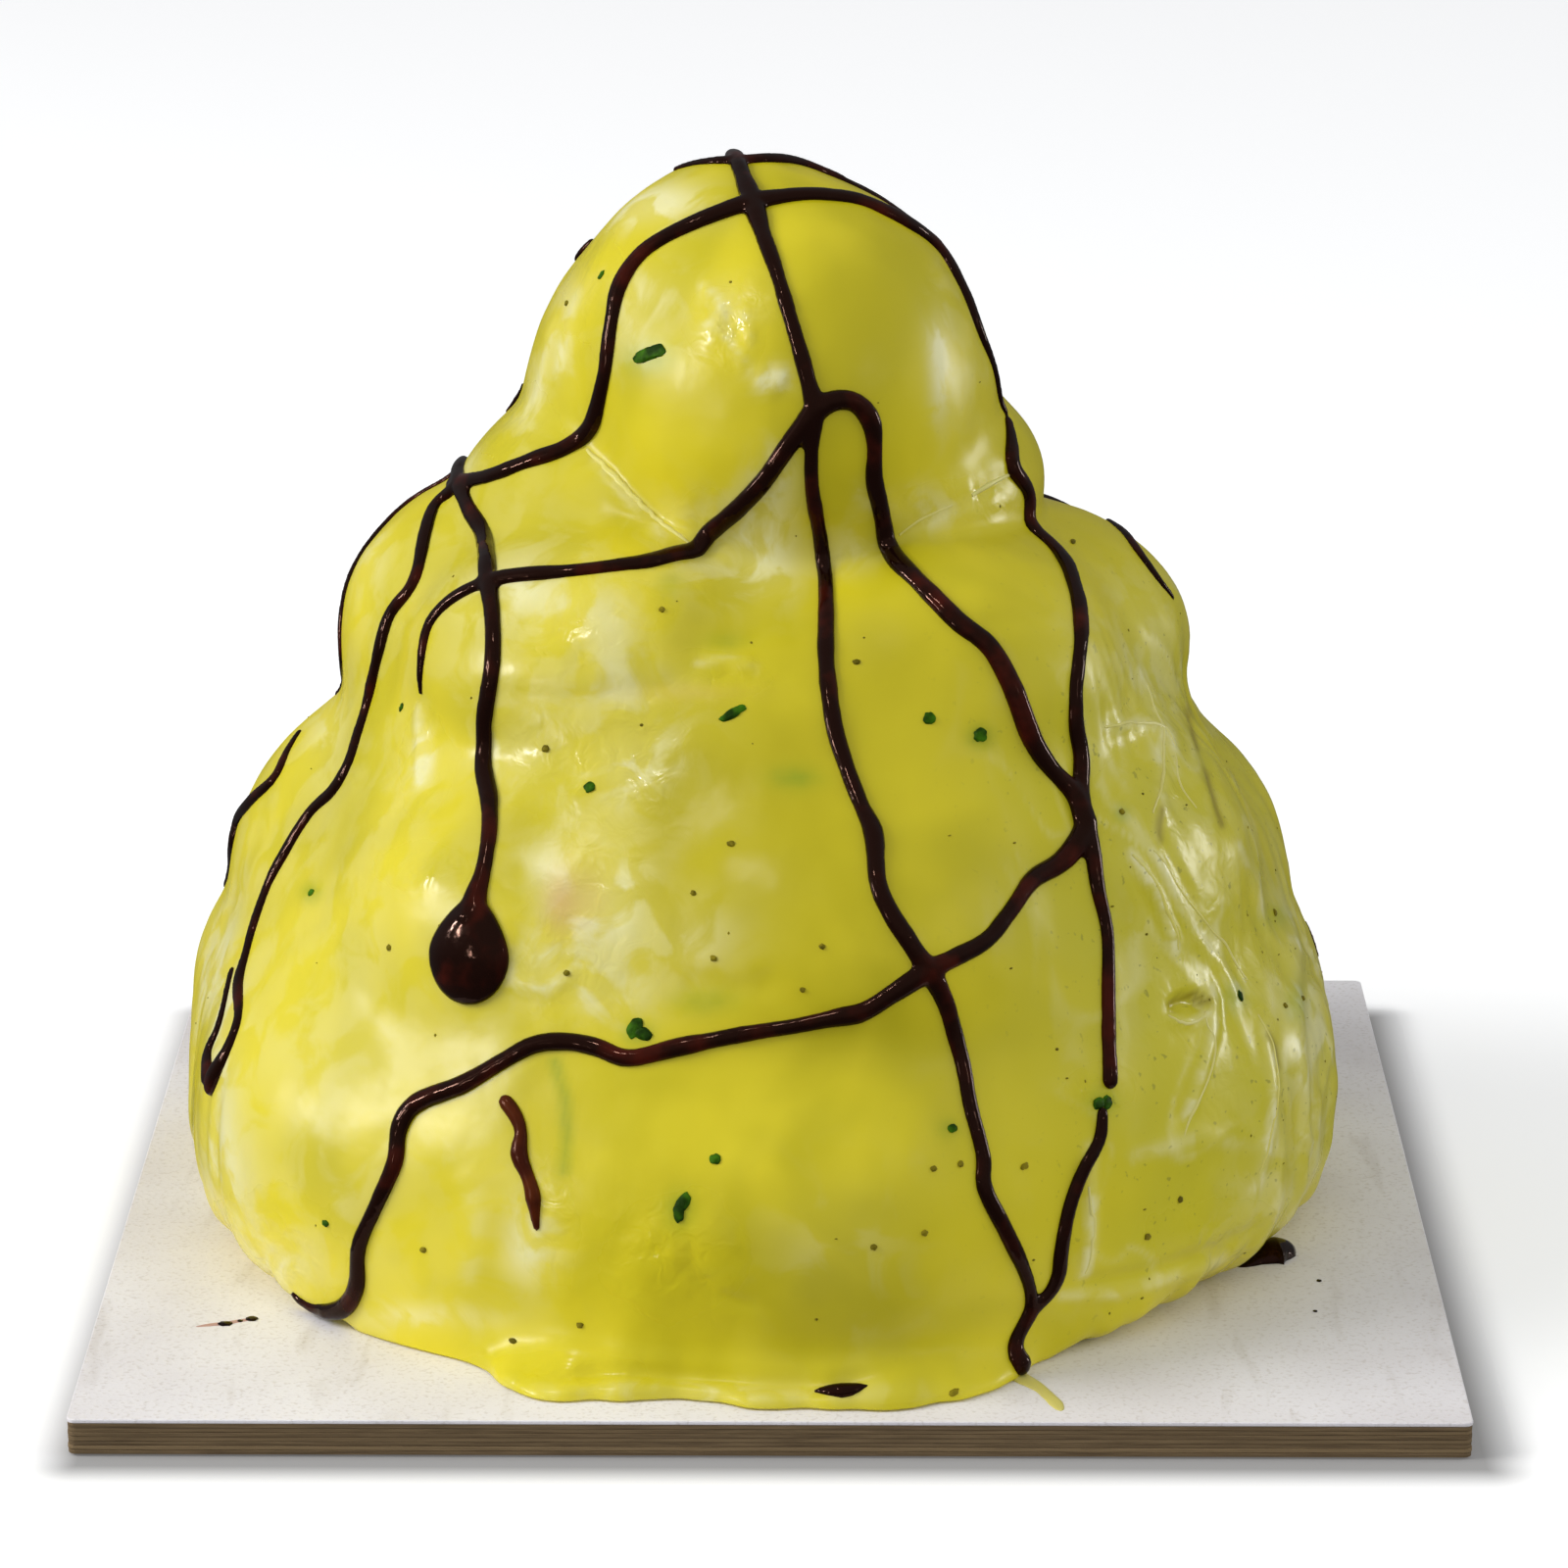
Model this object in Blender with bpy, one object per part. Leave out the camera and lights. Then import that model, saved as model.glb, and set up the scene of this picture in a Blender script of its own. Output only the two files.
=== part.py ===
"""Croquembouche on its board: choux puffs stacked four rings high under one thick coat of yellow cream
glaze, with dark chocolate trailed over it. The trails and the herb flecks are one solid with the coat, and
the chocolate spots are one solid with the board. Metres, +Z up, origin under the middle of the board.
"""

import math

import bmesh
import bpy
import numpy as np
from mathutils import Matrix, Vector

# Driving sizes
BOARD_SIDE = 0.180
BOARD_THICKNESS = 0.0048
BOARD_EDGE_ROUND = 0.0004
GAP = 0.0003
MOUND_FLOOR = BOARD_THICKNESS + GAP
TRAIL_RADIUS = 0.00125
TRAIL_RISE = 0.35
TRAIL_STEP = 0.0080
FLECK_SIZE = 0.0011

# How finely the coat is drawn: meridians round it and rings up it
MERIDIANS = 64
RINGS = 30

# The line of sight that the front trails are placed along: an eye before the board, and the picture's scale
EYE = Vector((0.0071, -0.8376, 0.3067 + BOARD_THICKNESS))
EYE_PITCH = math.radians(16.52)
EYE_YAW = math.radians(-0.40)
PICTURE_FOCAL = 6421.0
PICTURE_CENTRE = 800.0
NEAREST_SIGHT = 0.68
FARTHEST_SIGHT = 1.0

# The stack leans a little to the left at its foot
FOOT_SHIFT = -0.0025
LEAN_HEIGHT = 0.110

# Coated puffs, ring by ring: azimuth from the front towards the right in degrees, then in millimetres
# distance from the axis, height above the board, half width and half height
PUFFS = (
    (10, 48, 19, 35, 27),
    (66, 48, 20, 34.5, 27),
    (112, 49, 20, 34, 27),
    (186, 46, 20, 34, 27),
    (250, 49, 22, 35.5, 28),
    (304, 48, 19, 35.5, 28),
    (10, 38, 51, 34, 25),
    (64, 36, 52, 34, 25),
    (104, 39, 45, 34, 25),
    (190, 38, 50, 34, 25),
    (258, 41, 45, 34, 27),
    (322, 38, 50, 33, 25),
    (-48, 27, 81, 29, 21),
    (50, 26, 79, 29.5, 22),
    (96, 29.5, 80, 28, 18),
    (180, 28, 80, 28, 23),
    (262, 31, 79, 28.5, 24),
)
CROWN_PUFF = ((24, 6, 113.5, 27.5, 30.5), (285, 4, 118, 25, 28.5), (238, 10, 110, 26, 30))
WEBS = ((265, 17, 97, 27, 19), (85, 10, 102, 27, 18), (180, 12, 100, 27, 18))

# The filled heart of the stack: height and radius, in millimetres
CORE = ((-5, 79), (15, 80), (30, 77.5), (45, 71), (60, 62), (75, 54.5), (86, 46), (95, 33), (105, 24), (118, 12))
CORE_TOP = 0.120
CORE_SLOPE = 0.85

# The coat's foot on the board and its thin lip at the front: azimuth in degrees, radius in millimetres
FOOT = (
    (-180, 77),
    (-120, 74),
    (-85, 67.5),
    (-60, 71),
    (-32, 80),
    (0, 81),
    (24, 79),
    (40, 71),
    (62, 68.5),
    (85, 69.5),
    (110, 76),
    (180, 77),
)
LIP = (
    (-180, 60),
    (-34, 60),
    (-26, 79),
    (-22, 85),
    (-18, 87.5),
    (-12, 85.2),
    (-5, 83.6),
    (1, 86),
    (7, 86.8),
    (13, 89),
    (18, 87),
    (23, 84.2),
    (27, 78),
    (32, 60),
    (180, 60),
)
LIP_THICKNESS = 0.0012
LIP_SLOPE = 0.38
LIP_ROUND = 0.0006
LIP_BLEND = 0.0024
TUCK_HEIGHT = 0.014
TUCK_DEPTH = 0.013

# How softly the puffs blend under the coat, low down and at the crown
BLEND_HEIGHTS = (0.0, 0.070, 0.105)
BLENDS = (0.0022, 0.0022, 0.0010)

# Trails of chocolate over the front, as points of the picture
OVER_CROWN = ((752, 166), (762, 205), (782, 262), (805, 330), (820, 380), (831, 420))
MIDDLE = (
    (831, 420),
    (831, 480),
    (842, 580),
    (843, 650),
    (858, 750),
    (885, 850),
    (900, 910),
    (939, 987),
    (963, 1050),
    (990, 1150),
    (1014, 1231),
    (1045, 1300),
    (1040, 1340),
    (1034, 1374),
    (1041, 1394),
)
ROUND_CROWN = (
    (470, 495),
    (515, 482),
    (572, 461),
    (603, 432),
    (618, 370),
    (630, 305),
    (662, 254),
    (712, 222),
    (770, 203),
    (830, 198),
    (890, 213),
    (945, 250),
    (980, 295),
    (1004, 350),
    (1022, 410),
)
RIGHT = (
    (1030, 440),
    (1036, 478),
    (1062, 535),
    (1093, 590),
    (1102, 640),
    (1095, 716),
    (1104, 787),
    (1108, 850),
    (1119, 915),
    (1130, 982),
    (1131, 1040),
    (1133, 1103),
)
FORK_LEFT = (
    (831, 425),
    (800, 470),
    (748, 528),
    (697, 563),
    (610, 579),
    (512, 592),
    (462, 610),
    (435, 648),
    (427, 706),
)
FORK_RIGHT = (
    (831, 418),
    (862, 408),
    (886, 424),
    (893, 494),
    (916, 575),
    (959, 621),
    (1012, 662),
    (1046, 743),
    (1070, 790),
    (1106, 830),
    (1105, 860),
    (1052, 892),
    (1010, 950),
    (939, 987),
    (880, 1026),
    (790, 1050),
    (700, 1067),
    (645, 1078),
    (575, 1061),
    (513, 1083),
    (430, 1122),
    (404, 1165),
    (398, 1200),
    (372, 1255),
    (361, 1305),
    (345, 1338),
    (305, 1322),
)
LEFT_DROP = (
    (459, 468),
    (478, 510),
    (494, 575),
    (501, 640),
    (495, 713),
    (491, 772),
    (500, 825),
    (496, 878),
    (484, 930),
)
FAR_LEFT = (
    (470, 497),
    (447, 515),
    (430, 560),
    (420, 597),
    (393, 640),
    (371, 737),
    (342, 806),
    (296, 863),
    (262, 938),
    (244, 1010),
    (242, 1058),
    (220, 1088),
    (217, 1112),
)
LOWER_RIGHT = ((1124, 1134), (1117, 1176), (1100, 1210), (1084, 1262), (1078, 1310), (1045, 1341))
DASH = ((520, 1127), (534, 1168), (542, 1214), (547, 1252))

# Trails over the crown, the sides and the back: azimuth in degrees and height above the board in millimetres
ACROSS_TOP = ((-150, 144), (170, 143), (120, 142), (100, 136), (102, 124), (112, 108))
LEFT_EDGE = ((-76, 103), (-84, 95), (-90, 84), (-94, 72), (-98, 60), (-97, 50), (-95, 40), (-93, 34))
BACK_LEFT = ((-150, 144), (-124, 128), (-116, 112), (-118, 98), (-124, 84), (-118, 66), (-128, 48), (-124, 26))
BACK_MIDDLE = ((170, 143), (178, 128), (172, 108), (184, 92), (178, 70), (188, 50), (180, 30), (186, 12))
BACK_RIGHT = ((112, 108), (104, 96), (104, 84), (116, 70), (126, 52), (120, 34), (130, 14))
BACK_ROUND = ((112, 92), (134, 84), (156, 90), (178, 84), (202, 90), (226, 82), (244, 88))
BACK_LOW = ((104, 40), (126, 30), (150, 36), (178, 28), (206, 36), (232, 28), (254, 36))

# The drop at the end of the left trail: its place in the picture and its half sizes
DROP_PLACE = (478, 974)
DROP_HALF = (0.0060, 0.0025, 0.0076)

# Herb flecks large enough to stand out of the coat, as points of the picture
FLECKS = (
    (660, 362),
    (748, 728),
    (948, 733),
    (1000, 750),
    (602, 804),
    (651, 1052),
    (730, 1183),
    (696, 1235),
    (1126, 1120),
    (970, 1152),
    (1262, 1018),
    (892, 1272),
)

# Chocolate spots on the board: place in the picture and half sizes in metres
BOARD_SPOTS = (((1303, 1279), (0.0032, 0.0036, 0.0014)), ((228, 1350), (0.0010, 0.0010, 0.0005)))

GLAZE = ((0.72, 0.60, 0.055), 0.22)
CHOCOLATE = ((0.018, 0.006, 0.004), 0.18)
BOARD_FACE = ((0.70, 0.66, 0.61), 0.45)


def curve_value(x, points):
    """A smooth curve through the points, read at x."""
    xs, ys = np.array(points, float).T
    slopes = np.gradient(ys, xs)
    i = np.clip(np.searchsorted(xs, x) - 1, 0, len(xs) - 2)
    span = xs[i + 1] - xs[i]
    t = np.clip((x - xs[i]) / span, 0, 1)
    start = (2 * t**3 - 3 * t**2 + 1) * ys[i] + (t**3 - 2 * t**2 + t) * span * slopes[i]
    end = (3 * t**2 - 2 * t**3) * ys[i + 1] + (t**3 - t**2) * span * slopes[i + 1]
    return start + end


def smooth_max(a, b, blend):
    """The larger of a and b, rounded where they meet."""
    high = np.maximum(a, b)
    return high + blend * np.log(np.exp((a - high) / blend) + np.exp((b - high) / blend))


def axis_shift(height):
    """How far the stack's axis stands to the right at a height above the board."""
    return FOOT_SHIFT * np.clip(1 - height / LEAN_HEIGHT, 0, 1)


def puff_distance(points, puff):
    """Roughly how far points lie outside one coated puff."""
    azimuth, reach, height, width, half_height = puff
    angle = math.radians(azimuth)
    centre = np.array(
        (
            axis_shift(height / 1000) + reach / 1000 * math.sin(angle),
            -reach / 1000 * math.cos(angle),
            BOARD_THICKNESS + height / 1000,
        )
    )
    radii = np.array((width, width, half_height)) / 1000
    offset = points - centre
    share = np.linalg.norm(offset / radii, axis=1)
    slope = np.linalg.norm(offset / radii**2, axis=1)
    return share * (share - 1) / np.maximum(slope, 1e-6)


def coat_distance(points):
    """Roughly how far points lie outside the coated stack; negative inside it."""
    height = points[:, 2] - BOARD_THICKNESS
    across = points[:, 0] - axis_shift(height)
    radius = np.hypot(across, points[:, 1])
    azimuth = np.degrees(np.arctan2(across, -points[:, 1]))
    core = (radius - curve_value(height * 1000, CORE) / 1000) * CORE_SLOPE
    parts = [np.maximum(core, height - CORE_TOP)]
    parts += [puff_distance(points, puff) for puff in PUFFS + CROWN_PUFF + WEBS]
    parts = np.array(parts)
    blend = np.interp(height, BLEND_HEIGHTS, BLENDS)
    nearest = parts.min(axis=0)
    stack = nearest - blend * np.log(np.exp(-(parts - nearest) / blend).sum(axis=0))
    foot = curve_value(azimuth, FOOT) / 1000
    rise = np.clip(height / TUCK_HEIGHT, 0, 1)
    tuck = (radius - foot - TUCK_DEPTH * np.sqrt(1 - (1 - rise) ** 2)) * 0.8
    stack = smooth_max(stack, tuck, 0.0008)
    beyond = radius - curve_value(azimuth, LIP) / 1000
    lip = smooth_max(beyond, np.abs(height) - LIP_THICKNESS + LIP_SLOPE * beyond, LIP_ROUND)
    stack = -smooth_max(-stack, -lip, LIP_BLEND)
    return np.maximum(stack, MOUND_FLOOR - points[:, 2])


def first_hits(starts, directions, near, far, step=0.0006):
    """Points where rays first meet the coat, and which of them do."""
    travel = np.full(len(starts), near)
    open_rays = np.ones(len(starts), bool)
    hit = np.zeros(len(starts), bool)
    while open_rays.any():
        rows = np.flatnonzero(open_rays)
        distance = coat_distance(starts[rows] + directions[rows] * travel[rows, None])
        inside = distance < 0
        hit[rows[inside]] = True
        travel[rows[~inside]] += np.maximum(distance[~inside] * 0.6, step)
        open_rays[rows[inside]] = False
        open_rays &= travel < far
    low = travel - step
    high = travel.copy()
    for _ in range(14):
        middle = (low + high) / 2
        inside = coat_distance(starts + directions * middle[:, None]) < 0
        high = np.where(inside, middle, high)
        low = np.where(inside, low, middle)
    return starts + directions * high[:, None], hit


def outward(points):
    """Unit normals of the coat at points."""
    step = 0.0003
    slopes = [
        coat_distance(points + np.eye(3)[k] * step) - coat_distance(points - np.eye(3)[k] * step) for k in range(3)
    ]
    normals = np.stack(slopes, axis=1)
    return normals / np.maximum(np.linalg.norm(normals, axis=1), 1e-9)[:, None]


def onto_coat(points):
    """Points drawn onto the coat along its normals."""
    for _ in range(4):
        points = points - outward(points) * coat_distance(points)[:, None]
    return points


def sight_directions(pixels):
    """Directions from the eye through points of the picture."""
    forward = Vector((math.sin(EYE_YAW), math.cos(EYE_YAW), -math.tan(EYE_PITCH))).normalized()
    right = Vector((math.cos(EYE_YAW), -math.sin(EYE_YAW), 0))
    up = right.cross(forward)
    across = (np.array(pixels, float) - PICTURE_CENTRE) / PICTURE_FOCAL
    rays = np.array(forward) + np.outer(across[:, 0], right) - np.outer(across[:, 1], up)
    return rays / np.linalg.norm(rays, axis=1)[:, None]


def seen_points(pixels):
    """Points of the coat, or of the board beside it, that stand at points of the picture."""
    rays = sight_directions(pixels)
    starts = np.tile(np.array(EYE), (len(rays), 1))
    found, hit = first_hits(starts, rays, NEAREST_SIGHT, FARTHEST_SIGHT)
    down = (MOUND_FLOOR - EYE.z) / rays[:, 2]
    on_board = starts + rays * down[:, None]
    beside = np.abs(on_board[:, 1]) < BOARD_SIDE / 2
    grazing = np.array([grazing_point(start, ray) for start, ray in zip(starts, rays)])
    missed = np.where(beside[:, None], on_board, grazing)
    return np.where(hit[:, None], found, missed)


def grazing_point(start, ray):
    """The point of a line of sight that comes nearest to the coat."""
    travel = np.linspace(NEAREST_SIGHT, FARTHEST_SIGHT, 400)
    points = start + ray * travel[:, None]
    return points[np.argmin(coat_distance(points))]


def ringed_points(places):
    """Points of the coat at azimuths in degrees and heights above the board in millimetres."""
    angles = np.radians([place[0] for place in places])
    heights = np.array([place[1] for place in places]) / 1000
    directions = np.stack([np.sin(angles), -np.cos(angles), np.zeros(len(angles))], axis=1)
    starts = directions * 0.11
    starts[:, 2] = heights + BOARD_THICKNESS
    return first_hits(starts, -directions, 0.0, 0.11)[0]


def smooth_route(points, step):
    """Points evenly along a smooth line through the given ones, drawn back onto the coat."""
    padded = np.vstack([2 * points[0] - points[1], points, 2 * points[-1] - points[-2]])
    fine = []
    for a, b, c, d in zip(padded, padded[1:], padded[2:], padded[3:]):
        for t in np.linspace(0, 1, 12, endpoint=False):
            fine.append(0.5 * (2 * b + (c - a) * t + (2 * a - 5 * b + 4 * c - d) * t**2 + (3 * b - a - 3 * c + d) * t**3))
    fine = np.array(fine + [points[-1]])
    along = np.concatenate([[0], np.cumsum(np.linalg.norm(np.diff(fine, axis=0), axis=1))])
    places = np.linspace(0, along[-1], max(3, round(along[-1] / step) + 1))
    line = np.stack([np.interp(places, along, fine[:, k]) for k in range(3)], axis=1)
    on_board = line[:, 2] < MOUND_FLOOR + 0.001
    return np.where(on_board[:, None], line, onto_coat(line))


def new_material(name, look):
    """A Principled material of one colour and roughness."""
    colour, roughness = look
    material = bpy.data.materials.new(name)
    material.use_nodes = True
    shader = material.node_tree.nodes["Principled BSDF"]
    shader.inputs["Base Color"].default_value = (*colour, 1.0)
    shader.inputs["Roughness"].default_value = roughness
    return material


def new_collection(name):
    """A collection linked to the scene."""
    collection = bpy.data.collections.new(name)
    bpy.context.scene.collection.children.link(collection)
    return collection


def add_mesh(name, shape, collection, material):
    """An object made of a bmesh, which is freed."""
    mesh = bpy.data.meshes.new(name)
    shape.to_mesh(mesh)
    shape.free()
    mesh.materials.append(material)
    made = bpy.data.objects.new(name, mesh)
    collection.objects.link(made)
    return made


def ray_from_axis(share):
    """Where a ray starts on the stack's axis and how steeply it rises, from the foot at 0 to the crown at 1."""
    height = MOUND_FLOOR + 0.0001 + 0.098 * share**1.3
    return height, math.radians(90) * share**2.2


def coated_stack(collection, material):
    """The coat's outer form: a sphere whose rings are drawn onto the coat, with a flat base."""
    shape = bmesh.new()
    bmesh.ops.create_uvsphere(shape, u_segments=MERIDIANS, v_segments=RINGS, radius=1)
    rim_angle = math.pi / RINGS
    starts, directions, raised = [], [], []
    for vertex in shape.verts:
        polar = math.acos(max(-1.0, min(1.0, vertex.co.z)))
        share = 1 - polar / (math.pi - rim_angle)
        if share < -1e-4:
            vertex.co = Vector((axis_shift(0), 0, MOUND_FLOOR))
            continue
        azimuth = math.atan2(vertex.co.y, vertex.co.x)
        height, climb = ray_from_axis(max(share, 0))
        direction = Vector((math.cos(azimuth) * math.cos(climb), math.sin(azimuth) * math.cos(climb), math.sin(climb)))
        if share > 1 - 1e-4:
            direction = Vector((0, 0, 1))
        starts.append(Vector((axis_shift(height - BOARD_THICKNESS), 0, height)) + direction * 0.13)
        directions.append(-direction)
        raised.append(vertex)
    found, _ = first_hits(np.array(starts), np.array(directions), 0.0, 0.13)
    for vertex, place in zip(raised, found):
        vertex.co = place
        if abs(place[2] - MOUND_FLOOR) < 0.0003:
            vertex.co.z = MOUND_FLOOR
    bmesh.ops.triangulate(shape, faces=shape.faces[:])
    bmesh.ops.recalc_face_normals(shape, faces=shape.faces[:])
    made = add_mesh("glazed_puff_stack", shape, collection, material)
    made.data.shade_smooth()
    return made


def chocolate_trail(name, route, collection, material, thickness=1.0, ends=(0.6, 0.6)):
    """One trail of chocolate, half sunk in the coat along its route and thinned at its ends."""
    radius = TRAIL_RADIUS * thickness
    line = smooth_route(route, TRAIL_STEP)
    line = line + outward(line) * radius * TRAIL_RISE
    line[:, 2] = np.maximum(line[:, 2], MOUND_FLOOR + radius)
    curve = bpy.data.curves.new(name, "CURVE")
    curve.dimensions = "3D"
    curve.bevel_depth = radius
    curve.bevel_resolution = 1
    curve.use_fill_caps = True
    spline = curve.splines.new("POLY")
    spline.points.add(len(line) - 1)
    for k, point in enumerate(line):
        spline.points[k].co = (*point, 1)
        spline.points[k].radius = 1.0
    spline.points[0].radius = ends[0]
    spline.points[-1].radius = ends[1]
    drawn = bpy.data.objects.new(name, curve)
    collection.objects.link(drawn)
    bpy.context.view_layer.update()
    mesh = bpy.data.meshes.new_from_object(drawn.evaluated_get(bpy.context.evaluated_depsgraph_get()))
    bpy.data.objects.remove(drawn)
    welded = bmesh.new()
    welded.from_mesh(mesh)
    bmesh.ops.remove_doubles(welded, verts=welded.verts[:], dist=0.00001)
    return add_mesh(name, welded, collection, material)


def rounded_lump(name, place, half_sizes, turned, collection, material, segments=12, rings=8):
    """An ellipsoid at a place, turned by a rotation."""
    shape = bmesh.new()
    bmesh.ops.create_uvsphere(shape, u_segments=segments, v_segments=rings, radius=1)
    scale = Matrix.Diagonal((*half_sizes, 1))
    bmesh.ops.transform(shape, matrix=Matrix.Translation(place) @ turned @ scale, verts=shape.verts[:])
    return add_mesh(name, shape, collection, material)


def facing_out(place):
    """A rotation that turns +Y along the coat's normal at a place."""
    normal = Vector(outward(np.array([place]))[0])
    return normal.to_track_quat("Y", "Z").to_matrix().to_4x4()


def keep_outer_skin(made):
    """Fills the hollows sealed in a fused solid and drops its loose scraps, by keeping its largest skin."""
    shape = bmesh.new()
    shape.from_mesh(made.data)
    unseen = set(shape.verts)
    skins = []
    while unseen:
        skin = set()
        edge_of_skin = [unseen.pop()]
        while edge_of_skin:
            vertex = edge_of_skin.pop()
            skin.add(vertex)
            reached = [edge.other_vert(vertex) for edge in vertex.link_edges]
            fresh = [other for other in reached if other in unseen]
            unseen.difference_update(fresh)
            edge_of_skin.extend(fresh)
        skins.append(skin)
    skins.sort(key=len)
    for skin in skins[:-1]:
        bmesh.ops.delete(shape, geom=list(skin), context="VERTS")
    shape.to_mesh(made.data)
    shape.free()


def join_all(base, toppings):
    """Joins a collection's solids to the base with one Boolean union, and removes the collection."""
    union = base.modifiers.new("toppings", "BOOLEAN")
    union.operation = "UNION"
    union.solver = "MANIFOLD"
    union.operand_type = "COLLECTION"
    union.collection = toppings
    bpy.context.view_layer.objects.active = base
    bpy.ops.object.modifier_apply(modifier=union.name)
    for topping in list(toppings.objects):
        bpy.data.objects.remove(topping)
    bpy.data.collections.remove(toppings)
    keep_outer_skin(base)


def make_mound(parts):
    """The coated stack with its trails, drop and flecks fused on."""
    glaze = new_material("glaze", GLAZE)
    chocolate = new_material("chocolate", CHOCOLATE)
    stack = coated_stack(parts, glaze)
    toppings = new_collection("toppings")
    front = {
        "over_crown": (OVER_CROWN, 1.0, (1.0, 1.0)),
        "middle": (MIDDLE, 1.0, (1.0, 1.0)),
        "round_crown": (ROUND_CROWN, 1.0, (1.0, 0.6)),
        "right": (RIGHT, 1.05, (0.4, 0.9)),
        "fork_left": (FORK_LEFT, 1.0, (1.0, 0.6)),
        "fork_right": (FORK_RIGHT, 1.1, (1.0, 0.4)),
        "left_drop": (LEFT_DROP, 1.1, (0.9, 1.0)),
        "far_left": (FAR_LEFT, 1.0, (1.0, 1.0)),
        "lower_right": (LOWER_RIGHT, 1.0, (0.8, 1.0)),
        "dash": (DASH, 0.8, (0.6, 0.5)),
    }
    for name, (pixels, thickness, ends) in front.items():
        chocolate_trail(name, seen_points(pixels), toppings, chocolate, thickness, ends)
    behind = (ACROSS_TOP, LEFT_EDGE, BACK_LEFT, BACK_MIDDLE, BACK_RIGHT, BACK_ROUND, BACK_LOW)
    for count, places in enumerate(behind):
        chocolate_trail(f"behind_{count}", ringed_points(places), toppings, chocolate)
    drop_at = seen_points([DROP_PLACE])[0]
    rounded_lump("drop", drop_at, DROP_HALF, facing_out(drop_at), toppings, chocolate, 12, 8)
    for count, place in enumerate(seen_points(FLECKS)):
        half = (FLECK_SIZE, FLECK_SIZE * 0.6, FLECK_SIZE * 0.7)
        rounded_lump(f"fleck_{count}", place, half, facing_out(place), toppings, glaze, 6, 4)
    join_all(stack, toppings)
    return stack


def make_board(parts):
    """The square board with its chocolate spots fused on."""
    face = new_material("board_face", BOARD_FACE)
    chocolate = new_material("spot_chocolate", CHOCOLATE)
    shape = bmesh.new()
    bmesh.ops.create_cube(shape, size=1)
    bmesh.ops.scale(shape, vec=(BOARD_SIDE, BOARD_SIDE, BOARD_THICKNESS), verts=shape.verts[:])
    bmesh.ops.translate(shape, vec=(0, 0, BOARD_THICKNESS / 2), verts=shape.verts[:])
    bmesh.ops.bevel(shape, geom=shape.edges[:], offset=BOARD_EDGE_ROUND, segments=2, affect="EDGES", profile=0.5)
    board = add_mesh("board", shape, parts, face)
    spots = new_collection("spots")
    for count, (pixel, half) in enumerate(BOARD_SPOTS):
        ray = sight_directions([pixel])[0]
        place = Vector(EYE) + Vector(ray) * ((BOARD_THICKNESS - EYE.z) / ray[2])
        rounded_lump(f"spot_{count}", place, half, Matrix.Identity(4), spots, chocolate, 12, 6)
    join_all(board, spots)
    return board


def main():
    """Clears the scene and builds the board and the mound on it."""
    for thing in list(bpy.data.objects):
        bpy.data.objects.remove(thing)
    parts = new_collection("croquembouche")
    make_board(parts)
    make_mound(parts)


main()
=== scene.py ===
"""Looks of a croquembouche: puffs under a thick lemon glaze, trailed with chocolate, on a square board."""

import logging
import math
from collections.abc import Iterable, Sequence
from dataclasses import dataclass
from enum import Enum

import bmesh
import bpy
import numpy as np
from mathutils import Matrix, Vector, noise
from mathutils.bvhtree import BVHTree


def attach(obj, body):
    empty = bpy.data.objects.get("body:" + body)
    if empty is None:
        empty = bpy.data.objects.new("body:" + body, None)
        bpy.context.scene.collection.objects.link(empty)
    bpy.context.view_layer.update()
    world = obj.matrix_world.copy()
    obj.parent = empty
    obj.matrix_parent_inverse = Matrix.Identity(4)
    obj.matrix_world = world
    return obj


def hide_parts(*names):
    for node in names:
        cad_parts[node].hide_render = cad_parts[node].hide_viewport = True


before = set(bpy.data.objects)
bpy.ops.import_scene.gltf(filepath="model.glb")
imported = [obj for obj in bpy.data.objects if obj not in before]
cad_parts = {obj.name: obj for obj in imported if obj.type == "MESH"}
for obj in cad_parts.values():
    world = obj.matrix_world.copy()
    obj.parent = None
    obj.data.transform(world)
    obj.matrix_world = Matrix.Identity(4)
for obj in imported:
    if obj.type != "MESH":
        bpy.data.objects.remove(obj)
log = logging.getLogger("croquembouche")

Pixel = tuple[float, float]
Place = tuple[float, float, float]
Colour = tuple[float, float, float]
BOARD_NODE = "board"
STACK_NODE = "glazed_puff_stack"
BODY = "root"
BOARD_SIDE = 0.180
BOARD_THICKNESS = 0.0048


def linear(red: int, green: int, blue: int) -> Colour:
    """A display colour, 0 to 255 a channel, in linear light."""
    parts = [channel / 255 for channel in (red, green, blue)]
    return tuple(c / 12.92 if c <= 0.04045 else ((c + 0.055) / 1.055) ** 2.4 for c in parts)


class Slot(Enum):
    """The record's material slots."""

    GLAZE = "glaze"
    BOARD = "board"


class Mark(Enum):
    """What a mark does to the coat."""

    GROOVE = -1
    RIDGE = 1


def blend_curve(x: np.ndarray, points: Sequence[tuple[float, float]]) -> np.ndarray:
    """A smooth curve through points.

    Args:
        x: Where the curve is read.
        points: Pairs of place and value, in rising order of place.

    Returns:
        The curve's values at x.
    """
    xs, ys = np.array(points, float).T
    slopes = np.gradient(ys, xs)
    i = np.clip(np.searchsorted(xs, x) - 1, 0, len(xs) - 2)
    span = xs[i + 1] - xs[i]
    t = np.clip((x - xs[i]) / span, 0, 1)
    start = (2 * t**3 - 3 * t**2 + 1) * ys[i] + (t**3 - 2 * t**2 + t) * span * slopes[i]
    end = (3 * t**2 - 2 * t**3) * ys[i + 1] + (t**3 - t**2) * span * slopes[i + 1]
    return start + end


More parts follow.
